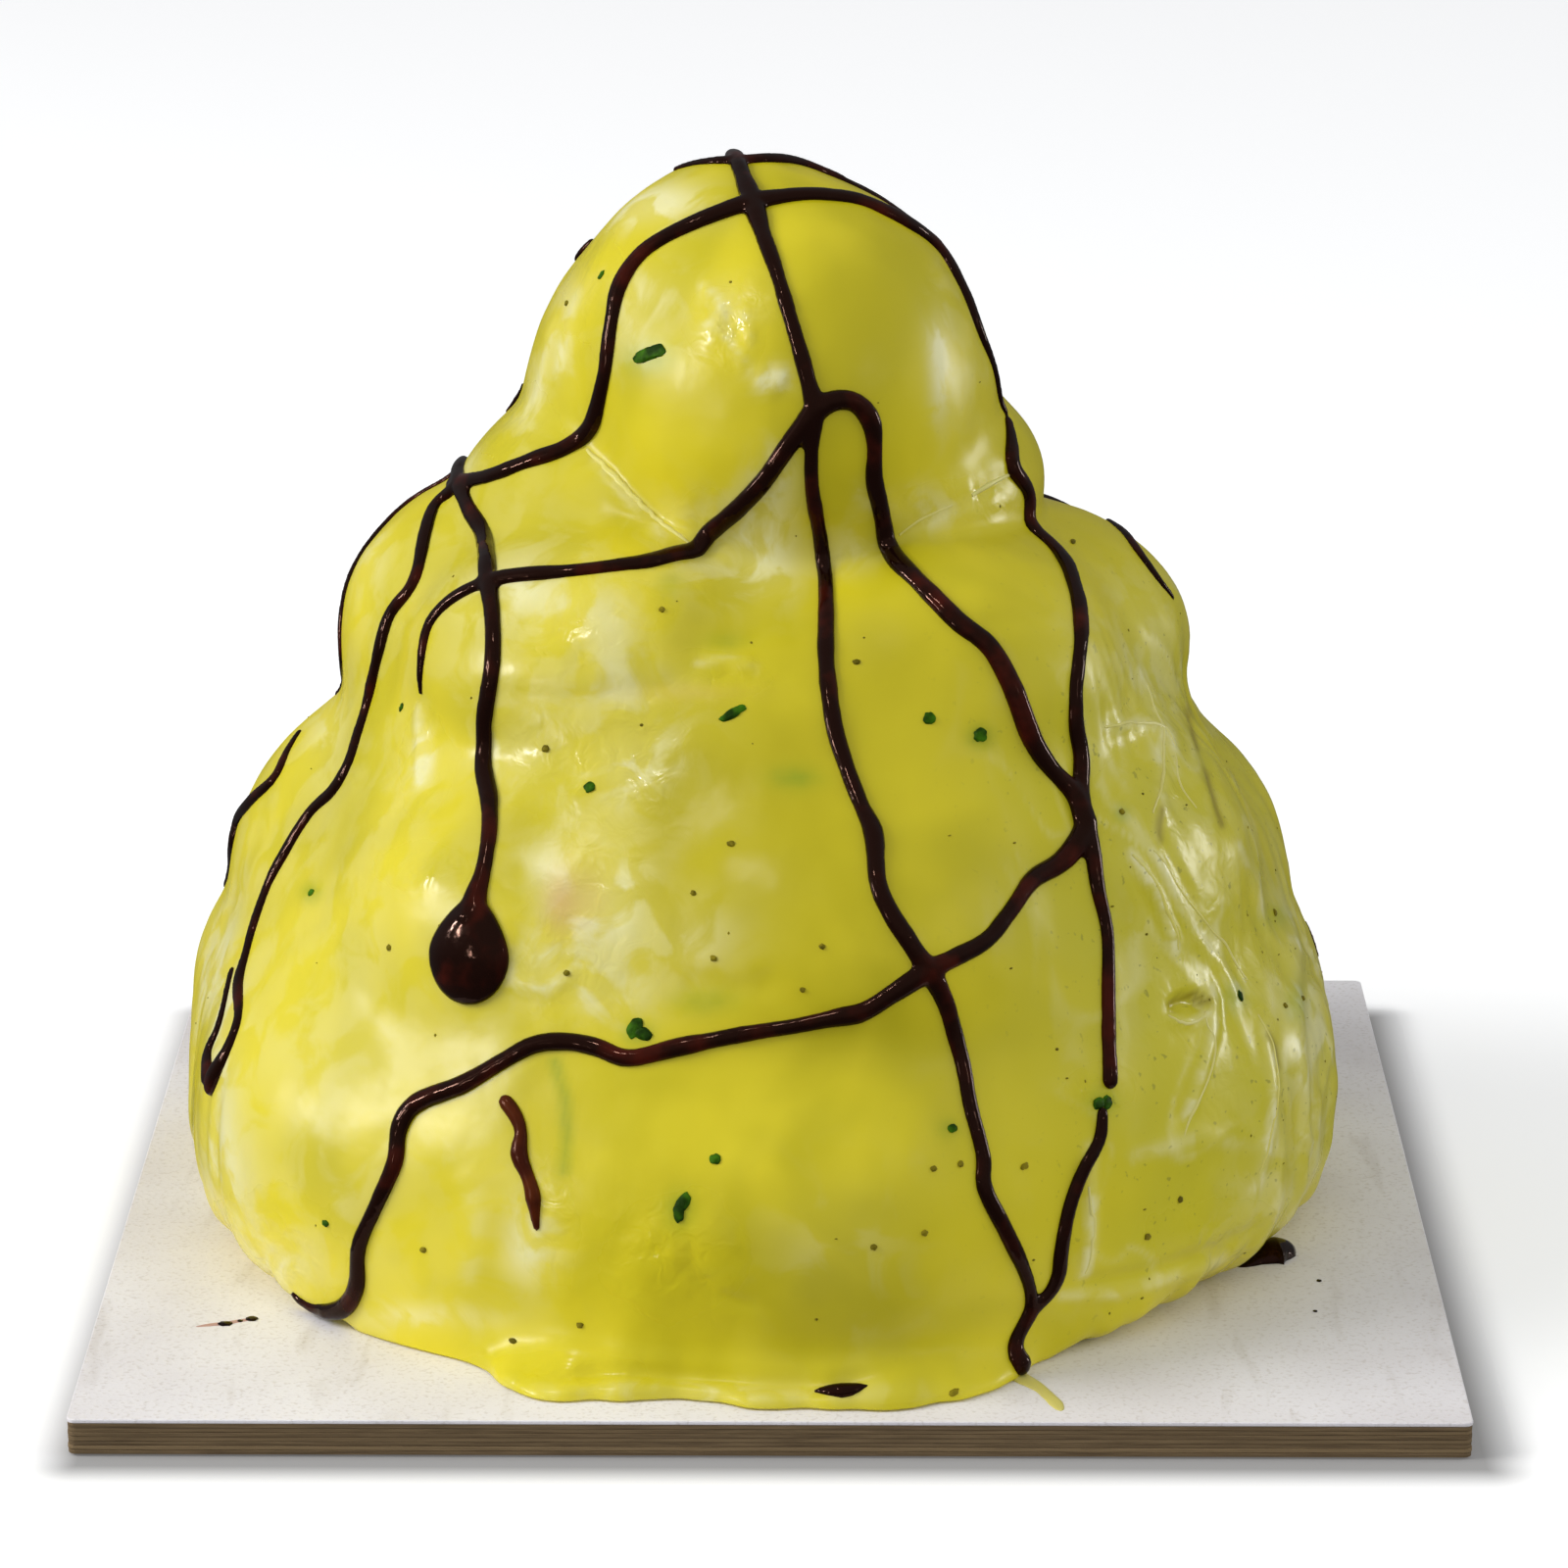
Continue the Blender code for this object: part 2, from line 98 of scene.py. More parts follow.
def smooth_max(a: np.ndarray, b: np.ndarray, blend: float) -> np.ndarray:
    """The larger of a and b, rounded over about the blend's length."""
    high = np.maximum(a, b)
    return high + blend * np.log(np.exp((a - high) / blend) + np.exp((b - high) / blend))


def smooth_step(x: np.ndarray, low: float, high: float) -> np.ndarray:
    """0 below low, 1 above high, and smooth between them."""
    t = np.clip((x - low) / (high - low), 0, 1)
    return t * t * (3 - 2 * t)


def lumpy(points: np.ndarray, scale: Sequence[float] | float, seed: float, octaves: int = 1) -> np.ndarray:
    """Smooth random values at points.

    Args:
        points: Places in metres.
        scale: Waves per metre, one number or one for each axis.
        seed: Shifts the pattern.
        octaves: How many finer patterns are added.

    Returns:
        Values of about -1 to 1.
    """
    scaled = points * np.array(scale) + seed
    total = np.zeros(len(points))
    for octave in range(octaves):
        factor = 2.0**octave
        total += np.array([noise.noise(Vector(p)) for p in scaled * factor]) / factor
    return total


@dataclass(frozen=True)
class Viewpoint:
    """The eye the object is seen from, and the picture's scale."""

    eye: Place = (0.0071, -0.8376, 0.3115)
    pitch_deg: float = 16.52
    yaw_deg: float = -0.40
    focal_px: float = 6421.0
    centre_px: float = 800.0
    nearest: float = 0.68
    farthest: float = 1.0

    def axes(self) -> tuple[np.ndarray, np.ndarray, np.ndarray]:
        """The directions forward, right and up."""
        pitch, yaw = math.radians(self.pitch_deg), math.radians(self.yaw_deg)
        level = math.cos(pitch)
        forward = np.array((math.sin(yaw) * level, math.cos(yaw) * level, -math.sin(pitch)))
        right = np.array((math.cos(yaw), -math.sin(yaw), 0.0))
        return forward, right, np.cross(right, forward)

    def rays(self, pixels: Iterable[Pixel]) -> np.ndarray:
        """Unit directions through points of the picture."""
        forward, right, up = self.axes()
        across = (np.array([p[:2] for p in pixels], float) - self.centre_px) / self.focal_px
        rays = forward + np.outer(across[:, 0], right) - np.outer(across[:, 1], up)
        return rays / np.linalg.norm(rays, axis=1)[:, None]

    def project(self, points: np.ndarray) -> np.ndarray:
        """Points of the picture where places in metres are seen."""
        forward, right, up = self.axes()
        offset = points - np.array(self.eye)
        depth = offset @ forward
        x = self.centre_px + self.focal_px * (offset @ right) / depth
        y = self.centre_px - self.focal_px * (offset @ up) / depth
        return np.stack([x, y], axis=1)

    def facing(self, points: np.ndarray, normals: np.ndarray) -> np.ndarray:
        """1 where a surface faces the eye, falling to 0 at its edge and behind."""
        to_eye = np.array(self.eye) - points
        to_eye /= np.linalg.norm(to_eye, axis=1)[:, None]
        return smooth_step((to_eye * normals).sum(axis=1), 0.02, 0.2)


EYE = Viewpoint()


@dataclass(frozen=True)
class CoatForm:
    """The coated stack's form: puffs blended under one coat.

    Rows of numbers are in degrees and millimetres, and single values in metres. A puff is its azimuth,
    its reach from the axis, its height above the board, its half width and its half height.
    """

    thickness: float = BOARD_THICKNESS
    gap: float = 0.0003
    foot_shift: float = -0.0025
    lean_height: float = 0.110
    puffs: tuple = (
        (10, 48, 19, 35, 27), (66, 48, 20, 34.5, 27), (112, 49, 20, 34, 27), (186, 46, 20, 34, 27),
        (250, 49, 22, 35.5, 28), (304, 48, 19, 35.5, 28), (10, 38, 51, 34, 25), (64, 36, 52, 34, 25),
        (104, 39, 45, 34, 25), (190, 38, 50, 34, 25), (258, 41, 45, 34, 27), (322, 38, 50, 33, 25),
        (-48, 27, 81, 29, 21), (50, 26, 79, 29.5, 22), (96, 29.5, 80, 28, 18), (180, 28, 80, 28, 23),
        (262, 31, 79, 28.5, 24), (24, 6, 113.5, 27.5, 30.5), (285, 4, 118, 25, 28.5),
        (238, 10, 110, 26, 30), (265, 17, 97, 27, 19), (85, 10, 102, 27, 18), (180, 12, 100, 27, 18),
    )
    core: tuple = (
        (-5, 79), (15, 80), (30, 77.5), (45, 71), (60, 62), (75, 54.5), (86, 46), (95, 33), (105, 24),
        (118, 12),
    )
    core_top: float = 0.120
    core_slope: float = 0.85
    foot: tuple = (
        (-180, 77), (-120, 74), (-85, 67.5), (-60, 71), (-32, 80), (0, 81), (24, 79), (40, 71),
        (62, 68.5), (85, 69.5), (110, 76), (180, 77),
    )
    foot_waves: tuple = ((19, 0.4, 0.5), (37, 1.9, 0.45), (61, 0.7, 0.35), (97, 2.6, 0.2))
    lip: tuple = (
        (-180, 60), (-34, 60), (-26, 79), (-22, 85), (-18, 87.5), (-12, 85.2), (-5, 83.6), (1, 86),
        (7, 86.8), (13, 89), (18, 87), (23, 84.2), (27, 78), (32, 60), (180, 60),
    )
    lip_thickness: float = 0.0012
    lip_slope: float = 0.38
    lip_round: float = 0.0006
    lip_blend: float = 0.0024
    tuck_height: float = 0.014
    tuck_depth: float = 0.013
    blend_heights: tuple = (0.0, 0.070, 0.105)
    blends: tuple = (0.0022, 0.0022, 0.0010)
    tuck_share: float = 0.8
    tuck_blend: float = 0.0008
    lip_ripple: float = 0.6

    @property
    def floor(self) -> float:
        """Height of the coat's underside."""
        return self.thickness + self.gap

    def axis_shift(self, height: np.ndarray) -> np.ndarray:
        """How far the axis stands to the right at a height above the board."""
        return self.foot_shift * np.clip(1 - height / self.lean_height, 0, 1)

    def puff_distance(self, points: np.ndarray, puff: Sequence[float]) -> np.ndarray:
        """Roughly how far points lie outside one coated puff."""
        azimuth, reach, height, width, half_height = puff
        angle = math.radians(azimuth)
        across = float(self.axis_shift(np.array(height / 1000))) + reach / 1000 * math.sin(angle)
        centre = np.array((across, -reach / 1000 * math.cos(angle), self.thickness + height / 1000))
        radii = np.array((width, width, half_height)) / 1000
        offset = points - centre
        share = np.linalg.norm(offset / radii, axis=1)
        slope = np.linalg.norm(offset / radii**2, axis=1)
        return share * (share - 1) / np.maximum(slope, 1e-6)

    def distance(self, points: np.ndarray) -> np.ndarray:
        """Roughly how far points lie outside the coat; negative inside it."""
        height = points[:, 2] - self.thickness
        across = points[:, 0] - self.axis_shift(height)
        radius = np.hypot(across, points[:, 1])
        azimuth = np.degrees(np.arctan2(across, -points[:, 1]))
        core = (radius - blend_curve(height * 1000, self.core) / 1000) * self.core_slope
        parts = [np.maximum(core, height - self.core_top)]
        parts += [self.puff_distance(points, puff) for puff in self.puffs]
        stacked = np.array(parts)
        blend = np.interp(height, self.blend_heights, self.blends)
        nearest = stacked.min(axis=0)
        stack = nearest - blend * np.log(np.exp(-(stacked - nearest) / blend).sum(axis=0))
        turn = np.radians(azimuth)
        ripple = sum(size * np.sin(waves * turn + start) for waves, start, size in self.foot_waves) / 1000
        foot = blend_curve(azimuth, self.foot) / 1000 + ripple
        rise = np.clip(height / self.tuck_height, 0, 1)
        tuck = (radius - foot - self.tuck_depth * np.sqrt(1 - (1 - rise) ** 2)) * self.tuck_share
        stack = smooth_max(stack, tuck, self.tuck_blend)
        beyond = radius - blend_curve(azimuth, self.lip) / 1000 - ripple * self.lip_ripple
        wedge = np.abs(height) - self.lip_thickness + self.lip_slope * beyond
        lip = smooth_max(beyond, wedge, self.lip_round)
        stack = -smooth_max(-stack, -lip, self.lip_blend)
        return np.maximum(stack, self.floor - points[:, 2])

    def first_hits(
        self, starts: np.ndarray, rays: np.ndarray, near: float, far: float, step: float = 0.0006
    ) -> tuple[np.ndarray, np.ndarray]:
        """Where rays first meet the coat.

        Args:
            starts: Where the rays start.
            rays: Their unit directions.
            near: How far along them the search begins.
            far: Where it ends.
            step: The shortest stride.

        Returns:
            The points, and which rays met the coat.
        """
        travel = np.full(len(starts), near)
        searching = np.ones(len(starts), bool)
        hit = np.zeros(len(starts), bool)
        while searching.any():
            rows = np.flatnonzero(searching)
            gap = self.distance(starts[rows] + rays[rows] * travel[rows, None])
            inside = gap < 0
            hit[rows[inside]] = True
            travel[rows[~inside]] += np.maximum(gap[~inside] * 0.6, step)
            searching[rows[inside]] = False
            searching &= travel < far
        low, high = travel - step, travel.copy()
        for _ in range(12):
            middle = (low + high) / 2
            inside = self.distance(starts + rays * middle[:, None]) < 0
            high = np.where(inside, middle, high)
            low = np.where(inside, low, middle)
        return starts + rays * high[:, None], hit

    def outward(self, points: np.ndarray) -> np.ndarray:
        """Unit normals of the coat at points."""
        step = 0.0003
        shifts = np.eye(3) * step
        slopes = [self.distance(points + shift) - self.distance(points - shift) for shift in shifts]
        normals = np.stack(slopes, axis=1)
        return normals / np.maximum(np.linalg.norm(normals, axis=1), 1e-9)[:, None]

    def seen(self, pixels: Sequence[Pixel]) -> np.ndarray:
        """Points of the coat, or of the board beside it, that stand at points of the picture."""
        rays = EYE.rays(pixels)
        starts = np.tile(np.array(EYE.eye), (len(rays), 1))
        found, hit = self.first_hits(starts, rays, EYE.nearest, EYE.farthest)
        down = (self.floor - EYE.eye[2]) / rays[:, 2]
        on_board = starts + rays * down[:, None]
        beside = np.abs(on_board[:, 1]) < BOARD_SIDE / 2
        grazing = np.array([self.grazing(start, ray) for start, ray in zip(starts, rays)])
        return np.where(hit[:, None], found, np.where(beside[:, None], on_board, grazing))

    def grazing(self, start: np.ndarray, ray: np.ndarray) -> np.ndarray:
        """The point of a line of sight that comes nearest to the coat."""
        points = start + ray * np.linspace(EYE.nearest, EYE.farthest, 400)[:, None]
        return points[np.argmin(self.distance(points))]

    def ringed(self, places: Sequence[tuple[float, float]]) -> np.ndarray:
        """Points of the coat at azimuths in degrees and heights above the board in millimetres."""
        angles = np.radians([place[0] for place in places])
        heights = np.array([place[1] for place in places]) / 1000
        rays = np.stack([np.sin(angles), -np.cos(angles), np.zeros(len(angles))], axis=1)
        away = 0.11
        starts = rays * away
        starts[:, 2] = heights + self.thickness
        return self.first_hits(starts, -rays, 0.0, away)[0]


FORM = CoatForm()


class Value:
    """A shader socket whose operators add Math nodes."""

    def __init__(self, tree: bpy.types.NodeTree, socket: bpy.types.NodeSocket) -> None:
        """Keeps the tree and the socket."""
        self.tree = tree
        self.socket = socket

    def math(self, operation: str, *others: "Value | float", clamp: bool = False) -> "Value":
        """Adds a Math node.

        Args:
            operation: The node's operation.
            others: Its further values.
            clamp: True to keep the result from 0 to 1.

        Returns:
            The node's result.
        """
        made = self.tree.nodes.new("ShaderNodeMath")
        made.operation = operation
        made.use_clamp = clamp
        for place, value in enumerate((self, *others)):
            if isinstance(value, Value):
                self.tree.links.new(value.socket, made.inputs[place])
            else:
                made.inputs[place].default_value = value
        return Value(self.tree, made.outputs[0])

    def __add__(self, other: "Value | float") -> "Value":
        """The sum."""
        return self.math("ADD", other)

    __radd__ = __add__

    def __mul__(self, other: "Value | float") -> "Value":
        """The product."""
        return self.math("MULTIPLY", other)

    __rmul__ = __mul__

    def __sub__(self, other: "Value | float") -> "Value":
        """The difference."""
        return self.math("SUBTRACT", other)

    def __rsub__(self, other: float) -> "Value":
        """The difference from a number."""
        return self.math("MULTIPLY", -1.0).math("ADD", other)

    def clamped(self) -> "Value":
        """The value kept from 0 to 1."""
        return self.math("ADD", 0.0, clamp=True)

    def step(self, low: float, high: float) -> "Value":
        """0 below low, 1 above high, and smooth between."""
        made = self.tree.nodes.new("ShaderNodeMapRange")
        made.interpolation_type = "SMOOTHSTEP"
        made.inputs["From Min"].default_value = low
        made.inputs["From Max"].default_value = high
        self.tree.links.new(self.socket, made.inputs["Value"])
        return Value(self.tree, made.outputs[0])


class Wiring:
    """A node tree whose nodes are added one call at a time."""

    def __init__(self, tree: bpy.types.NodeTree) -> None:
        """Keeps the tree."""
        self.tree = tree

    def feed(self, socket: bpy.types.NodeSocket, value: object) -> None:
        """Links or sets one input."""
        if isinstance(value, Value):
            value = value.socket
        if isinstance(value, bpy.types.NodeSocket):
            self.tree.links.new(value, socket)
        else:
            socket.default_value = value

    def node(self, kind: str, settings: dict | None = None, sockets: dict | None = None) -> bpy.types.Node:
        """Adds a node.

        Args:
            kind: The node's type.
            settings: Its properties, set first.
            sockets: Its inputs by name or identifier: values, sockets or expressions.

        Returns:
            The node.
        """
        made = self.tree.nodes.new(kind)
        for key, value in (settings or {}).items():
            setattr(made, key, value)
        for key, value in (sockets or {}).items():
            found = [s for s in made.inputs if key in (s.identifier, s.name)]
            self.feed(found[0], value)
        return made

    def value(
        self, kind: str, settings: dict | None = None, sockets: dict | None = None, output: int = 0
    ) -> Value:
        """Adds a node and gives one of its results for use in expressions."""
        return Value(self.tree, self.node(kind, settings, sockets).outputs[output])


class Finish(Wiring):
    """A Principled material whose nodes are added one call at a time."""

    def __init__(self, name: str, **constants: float | tuple) -> None:
        """Makes the material.

        Args:
            name: The material's name.
            constants: Values of the shader's own sockets, with _ for a space.
        """
        self.material = bpy.data.materials.new(name)
        self.material.use_nodes = True
        super().__init__(self.material.node_tree)
        self.shader = self.tree.nodes["Principled BSDF"]
        self.feeds(**constants)
        self.place = self.node("ShaderNodeTexCoord").outputs["Object"]

    def noise(
        self, scale: float, detail: float = 2.0, stretch: Place = (1, 1, 1), distortion: float = 0.0
    ) -> Value:
        """Smooth random values over Object coordinates.

        Args:
            scale: Waves per metre.
            detail: How many finer patterns are added.
            stretch: Share of the scale along each axis.
            distortion: How far the pattern is swirled.

        Returns:
            Values of about 0 to 1.
        """
        mapped = self.node("ShaderNodeMapping", {}, {"Vector": self.place, "Scale": stretch})
        sockets = {"Vector": mapped.outputs[0], "Scale": scale, "Detail": detail, "Distortion": distortion}
        return self.value("ShaderNodeTexNoise", {}, sockets)

    def attribute(self, name: str) -> Value:
        """The piece's own attribute of that name."""
        made = self.node("ShaderNodeAttribute", {"attribute_name": name})
        return Value(self.tree, made.outputs["Fac"])

    def blend(self, share: Value, first: object, second: object) -> bpy.types.NodeSocket:
        """A colour from the first to the second as share goes from 0 to 1."""
        made = self.node("ShaderNodeMix", {"data_type": "RGBA"})
        self.feed(made.inputs[0], share)
        for socket, colour in ((made.inputs[6], first), (made.inputs[7], second)):
            self.feed(socket, (*colour, 1.0) if isinstance(colour, tuple) else colour)
        return made.outputs[2]

    def bump(self, height: Value, distance: float, strength: float = 1.0) -> None:
        """Gives the shader's Normal a bump of that height over that distance."""
        sockets = {"Height": height, "Distance": distance, "Strength": strength}
        made = self.node("ShaderNodeBump", {}, sockets)
        self.feeds(Normal=made.outputs[0])

    def feeds(self, **values: object) -> None:
        """Feeds the shader's own sockets, with _ for a space."""
        for key, value in values.items():
            self.feed(self.shader.inputs[key.replace("_", " ")], value)


@dataclass(frozen=True)
class GlazeFinish:
    """Lemon glaze: deep where heavy, pale and cloudy where thin, dull greenish on the flank, with herb
    stains; painted highlights are laid in as pale patches, and painted shade as deeper and greenish
    patches.
    """

    name: str = "lemon_glaze"
    bright: Colour = linear(230, 214, 34)
    deep: Colour = linear(206, 193, 16)
    # Deeper colour for heavy glaze and for painted shade.
    thick_and_shade: Colour = linear(192, 179, 10)
    # Dull greenish colour of the dragged flank, also used as painted shade on the right side.
    olive_and_shade: Colour = linear(206, 197, 42)
    # Pale colour: cloudy thin glaze, and painted highlight and sheen.
    milky_and_sheen: Colour = linear(240, 234, 170)
    herb: Colour = linear(128, 156, 26)
    blush: Colour = linear(226, 190, 120)
    dust: Colour = linear(120, 118, 40)
    # Dark line colour: brown marks, and painted shadow.
    scored_and_shadow: Colour = linear(126, 104, 22)

    def make(self) -> bpy.types.Material:
        """The glaze's material."""
        made = Finish(
            self.name,
            Specular_IOR_Level=0.42,
            Subsurface_Weight=0.14,
            Subsurface_Radius=(1.0, 0.85, 0.25),
            Subsurface_Scale=0.004,
            IOR=1.45,
        )
        broad = made.noise(38, 2.0, distortion=0.6)
        fine = made.noise(160, 3.0)
        colour = made.blend(broad.step(0.35, 0.68), self.bright, self.deep)
        # Painted shade and heavy glaze: deeper colour where the deep attribute is set.
        colour = made.blend(made.attribute("deep").clamped(), colour, self.thick_and_shade)
        # Dull greenish flank tint, and painted shade on the right side.
        colour = made.blend(made.attribute("olive_and_shade").clamped() * 0.85, colour, self.olive_and_shade)
        # Pale patches: cloudy thin glaze, and painted highlights and sheen where lamps would reflect.
        clouds = made.noise(130, 4.0, distortion=0.7).step(0.42, 0.58)
        milk_and_sheen = made.attribute("milky_and_sheen") * (clouds + 0.34)
        colour = made.blend(milk_and_sheen.clamped(), colour, self.milky_and_sheen)
        colour = made.blend(made.attribute("blush").clamped(), colour, self.blush)
        stain = made.attribute("herb") * (0.55 + made.noise(420, 3.0) * 0.9)
        colour = made.blend(stain.clamped(), colour, self.herb)
        dust = made.noise(900, 2.0).step(0.66, 0.74) * made.attribute("olive_and_shade").clamped() * 0.5
        colour = made.blend(dust.clamped(), colour, self.dust)
        # Dark lines: brown marks, and painted shadow inside the small crater's upper rim.
        colour = made.blend(made.attribute("score_and_shadow").clamped(), colour, self.scored_and_shadow)
        rough = made.attribute("rough").clamped()
        made.feeds(Base_Color=colour, Roughness=0.27 + fine * 0.08 - rough * 0.21)
        pits = made.noise(330, 2.0, distortion=0.8) * (0.04 + rough * 0.8)
        made.bump(made.noise(150, 2.0) * (0.3 + rough * 0.5) + pits, 0.0008, 0.6)
        return made.material


@dataclass(frozen=True)
class ChocolateFinish:
    """Dark glossy chocolate, with random browner patches such as thin chocolate shows."""

    name: str
    dark: Colour = linear(20, 5, 3)
    brown: Colour = linear(66, 17, 9)
    roughness: float = 0.06

    def make(self) -> bpy.types.Material:
        """The chocolate's material."""
        made = Finish(self.name, IOR=1.45, Specular_IOR_Level=0.23, Specular_Tint=(1.0, 0.52, 0.38, 1.0))
        patch = made.noise(150, 3.0)
        made.feeds(
            Base_Color=made.blend(patch.step(0.48, 0.78), self.dark, self.brown),
            Roughness=self.roughness + made.noise(500, 2.0) * 0.08,
        )
        made.bump(made.noise(520, 2.0), 0.0004, 0.14)
        return made.material


@dataclass(frozen=True)
class HerbFinish:
    """Chopped herb: dark green flecks, some brown."""

    name: str
    green: Colour = linear(62, 112, 14)
    dark: Colour = linear(26, 52, 8)

    def make(self) -> bpy.types.Material:
        """The herb's material."""
        made = Finish(self.name, IOR=1.45, Specular_IOR_Level=0.12, Specular_Tint=(0.8, 1.0, 0.5, 1.0))
        made.feeds(
            Base_Color=made.blend(made.noise(420, 2.0).step(0.35, 0.65), self.green, self.dark),
            Roughness=0.35 + made.noise(1500, 1.0) * 0.2,
        )
        made.bump(made.noise(2500, 2.0), 0.0002, 0.5)
        return made.material


@dataclass(frozen=True)
class FacingFinish:
    """White facing of the board: faintly mottled, scuffed and a little warm."""

    white: Colour = linear(252, 249, 252)
    grey: Colour = linear(236, 231, 233)
    scuffed: Colour = linear(196, 186, 178)

    def make(self) -> bpy.types.Material:
        """The facing's material."""
        made = Finish("white_facing", IOR=1.45, Specular_IOR_Level=0.4)
        cloud = made.noise(26, 3.0)
        grain = made.noise(1500, 3.0)
        scuff = made.noise(220, 4.0, (1, 0.16, 1), 0.4).step(0.56, 0.74)
        colour = made.blend(cloud.step(0.3, 0.75), self.white, self.grey)
        worn = (grain.step(0.52, 0.7) * 0.35 + scuff * 0.3).clamped()
        colour = made.blend(worn, colour, self.scuffed)
        made.feeds(Base_Color=colour, Roughness=0.42 + grain * 0.2 - scuff * 0.06)
        made.bump(grain, 0.0001, 0.35)
        return made.material


@dataclass(frozen=True)
class PlyFinish:
    """Brown layered edge of the board: grain runs along each ply, and the plies differ in tone."""

    light: Colour = linear(138, 116, 84)
    dark: Colour = linear(74, 58, 40)

    def make(self) -> bpy.types.Material:
        """The plies' material."""
        made = Finish("ply_edge", IOR=1.45, Specular_IOR_Level=0.3)
        streak = made.noise(90, 4.0, (1, 1, 22))
        fibre = made.noise(1200, 3.0, (0.12, 0.12, 3))
        tone = (made.attribute("ply_tone") * 0.55 + streak * 0.5 + fibre * 0.35).step(0.35, 1.05)
        made.feeds(Base_Color=made.blend(tone, self.dark, self.light), Roughness=0.62 + fibre * 0.2)
        made.bump(fibre + streak * 0.5, 0.0003, 0.5)
        return made.material


class NodeGroup(Wiring):
    """A Geometry Nodes tree with named inputs."""

    def __init__(self, name: str) -> None:
        """Makes a tree that takes and gives a geometry."""
        super().__init__(bpy.data.node_groups.new(name, "GeometryNodeTree"))
        self.tree.interface.new_socket("Geometry", in_out="OUTPUT", socket_type="NodeSocketGeometry")
        self.tree.interface.new_socket("Geometry", in_out="INPUT", socket_type="NodeSocketGeometry")
        self.inputs = self.tree.nodes.new("NodeGroupInput")
        self.output = self.tree.nodes.new("NodeGroupOutput")
        self.identifiers: dict[str, str] = {}

    def number(self, name: str, default: float, whole: bool = False) -> Value:
        """Adds a named input for a number."""
        kind = "NodeSocketInt" if whole else "NodeSocketFloat"
        made = self.tree.interface.new_socket(name, in_out="INPUT", socket_type=kind)
        made.default_value = default
        self.identifiers[name] = made.identifier
        return Value(self.tree, self.inputs.outputs[name])

    @property
    def geometry(self) -> bpy.types.NodeSocket:
        """The geometry that comes in."""
        return self.inputs.outputs["Geometry"]

    def finish(self, geometry: bpy.types.NodeSocket, material: bpy.types.Material) -> None:
        """Ends the tree in Realize Instances, smooth shading and Set Material."""
        real = self.node("GeometryNodeRealizeInstances", {}, {"Geometry": geometry})
        smooth = self.node("GeometryNodeSetShadeSmooth", {}, {"Geometry": real.outputs[0]})
        sockets = {"Geometry": smooth.outputs[0], "Material": material}
        painted = self.node("GeometryNodeSetMaterial", {}, sockets)
        self.tree.links.new(painted.outputs[0], self.output.inputs[0])

    def run(self, carrier: bpy.types.Object, name: str, **values: float) -> bpy.types.Object:
        """Runs the tree on an object and keeps the result as a plain mesh.

        Args:
            carrier: The object it runs on, which is removed.
            name: The new object's name.
            values: Named inputs, with _ for a space.

        Returns:
            The new object.
        """
        modifier = carrier.modifiers.new("tree", "NODES")
        modifier.node_group = self.tree
        for key, value in values.items():
            modifier[self.identifiers[key.replace("_", " ")]] = value
        bpy.context.view_layer.update()
        evaluated = carrier.evaluated_get(bpy.context.evaluated_depsgraph_get())
        mesh = bpy.data.meshes.new_from_object(evaluated)
        bpy.data.objects.remove(carrier)
        return place_piece(name, mesh)


def place_piece(name: str, mesh: bpy.types.Mesh) -> bpy.types.Object:
    """Puts a mesh in the scene as an object at the origin."""
    mesh.name = name
    made = bpy.data.objects.new(name, mesh)
    bpy.context.scene.collection.objects.link(made)
    return made


def plain_mesh(
    name: str, shape: bmesh.types.BMesh, material: bpy.types.Material, smooth: bool = True
) -> bpy.types.Object:
    """Makes an object of a bmesh.

    Args:
        name: The object's name.
        shape: Its form, which is freed.
        material: Its finish.
        smooth: True for smooth shading.

    Returns:
        The object.
    """
    mesh = bpy.data.meshes.new(name)
    bmesh.ops.recalc_face_normals(shape, faces=shape.faces[:])
    shape.to_mesh(mesh)
    shape.free()
    mesh.materials.append(material)
    mesh.polygons.foreach_set("use_smooth", [smooth] * len(mesh.polygons))
    return place_piece(name, mesh)


def sort_by_place(shape: bmesh.types.BMesh) -> None:
    """Gives a form's parts one order, because a bevel leaves them in an order that varies."""
    weights = Vector((1.0, 2.7183, 31.006))
    shape.verts.sort(key=lambda vertex: vertex.co.dot(weights))
    shape.edges.sort(key=lambda edge: (edge.verts[0].co + edge.verts[1].co).dot(weights))
    shape.faces.sort(key=lambda face: face.calc_center_median().dot(weights))


def settle(piece: bpy.types.Object) -> None:
    """Applies a piece's modifiers, so that it is a plain mesh."""
    bpy.context.view_layer.update()
    evaluated = piece.evaluated_get(bpy.context.evaluated_depsgraph_get())
    mesh = bpy.data.meshes.new_from_object(evaluated)
    piece.modifiers.clear()
    piece.data = mesh


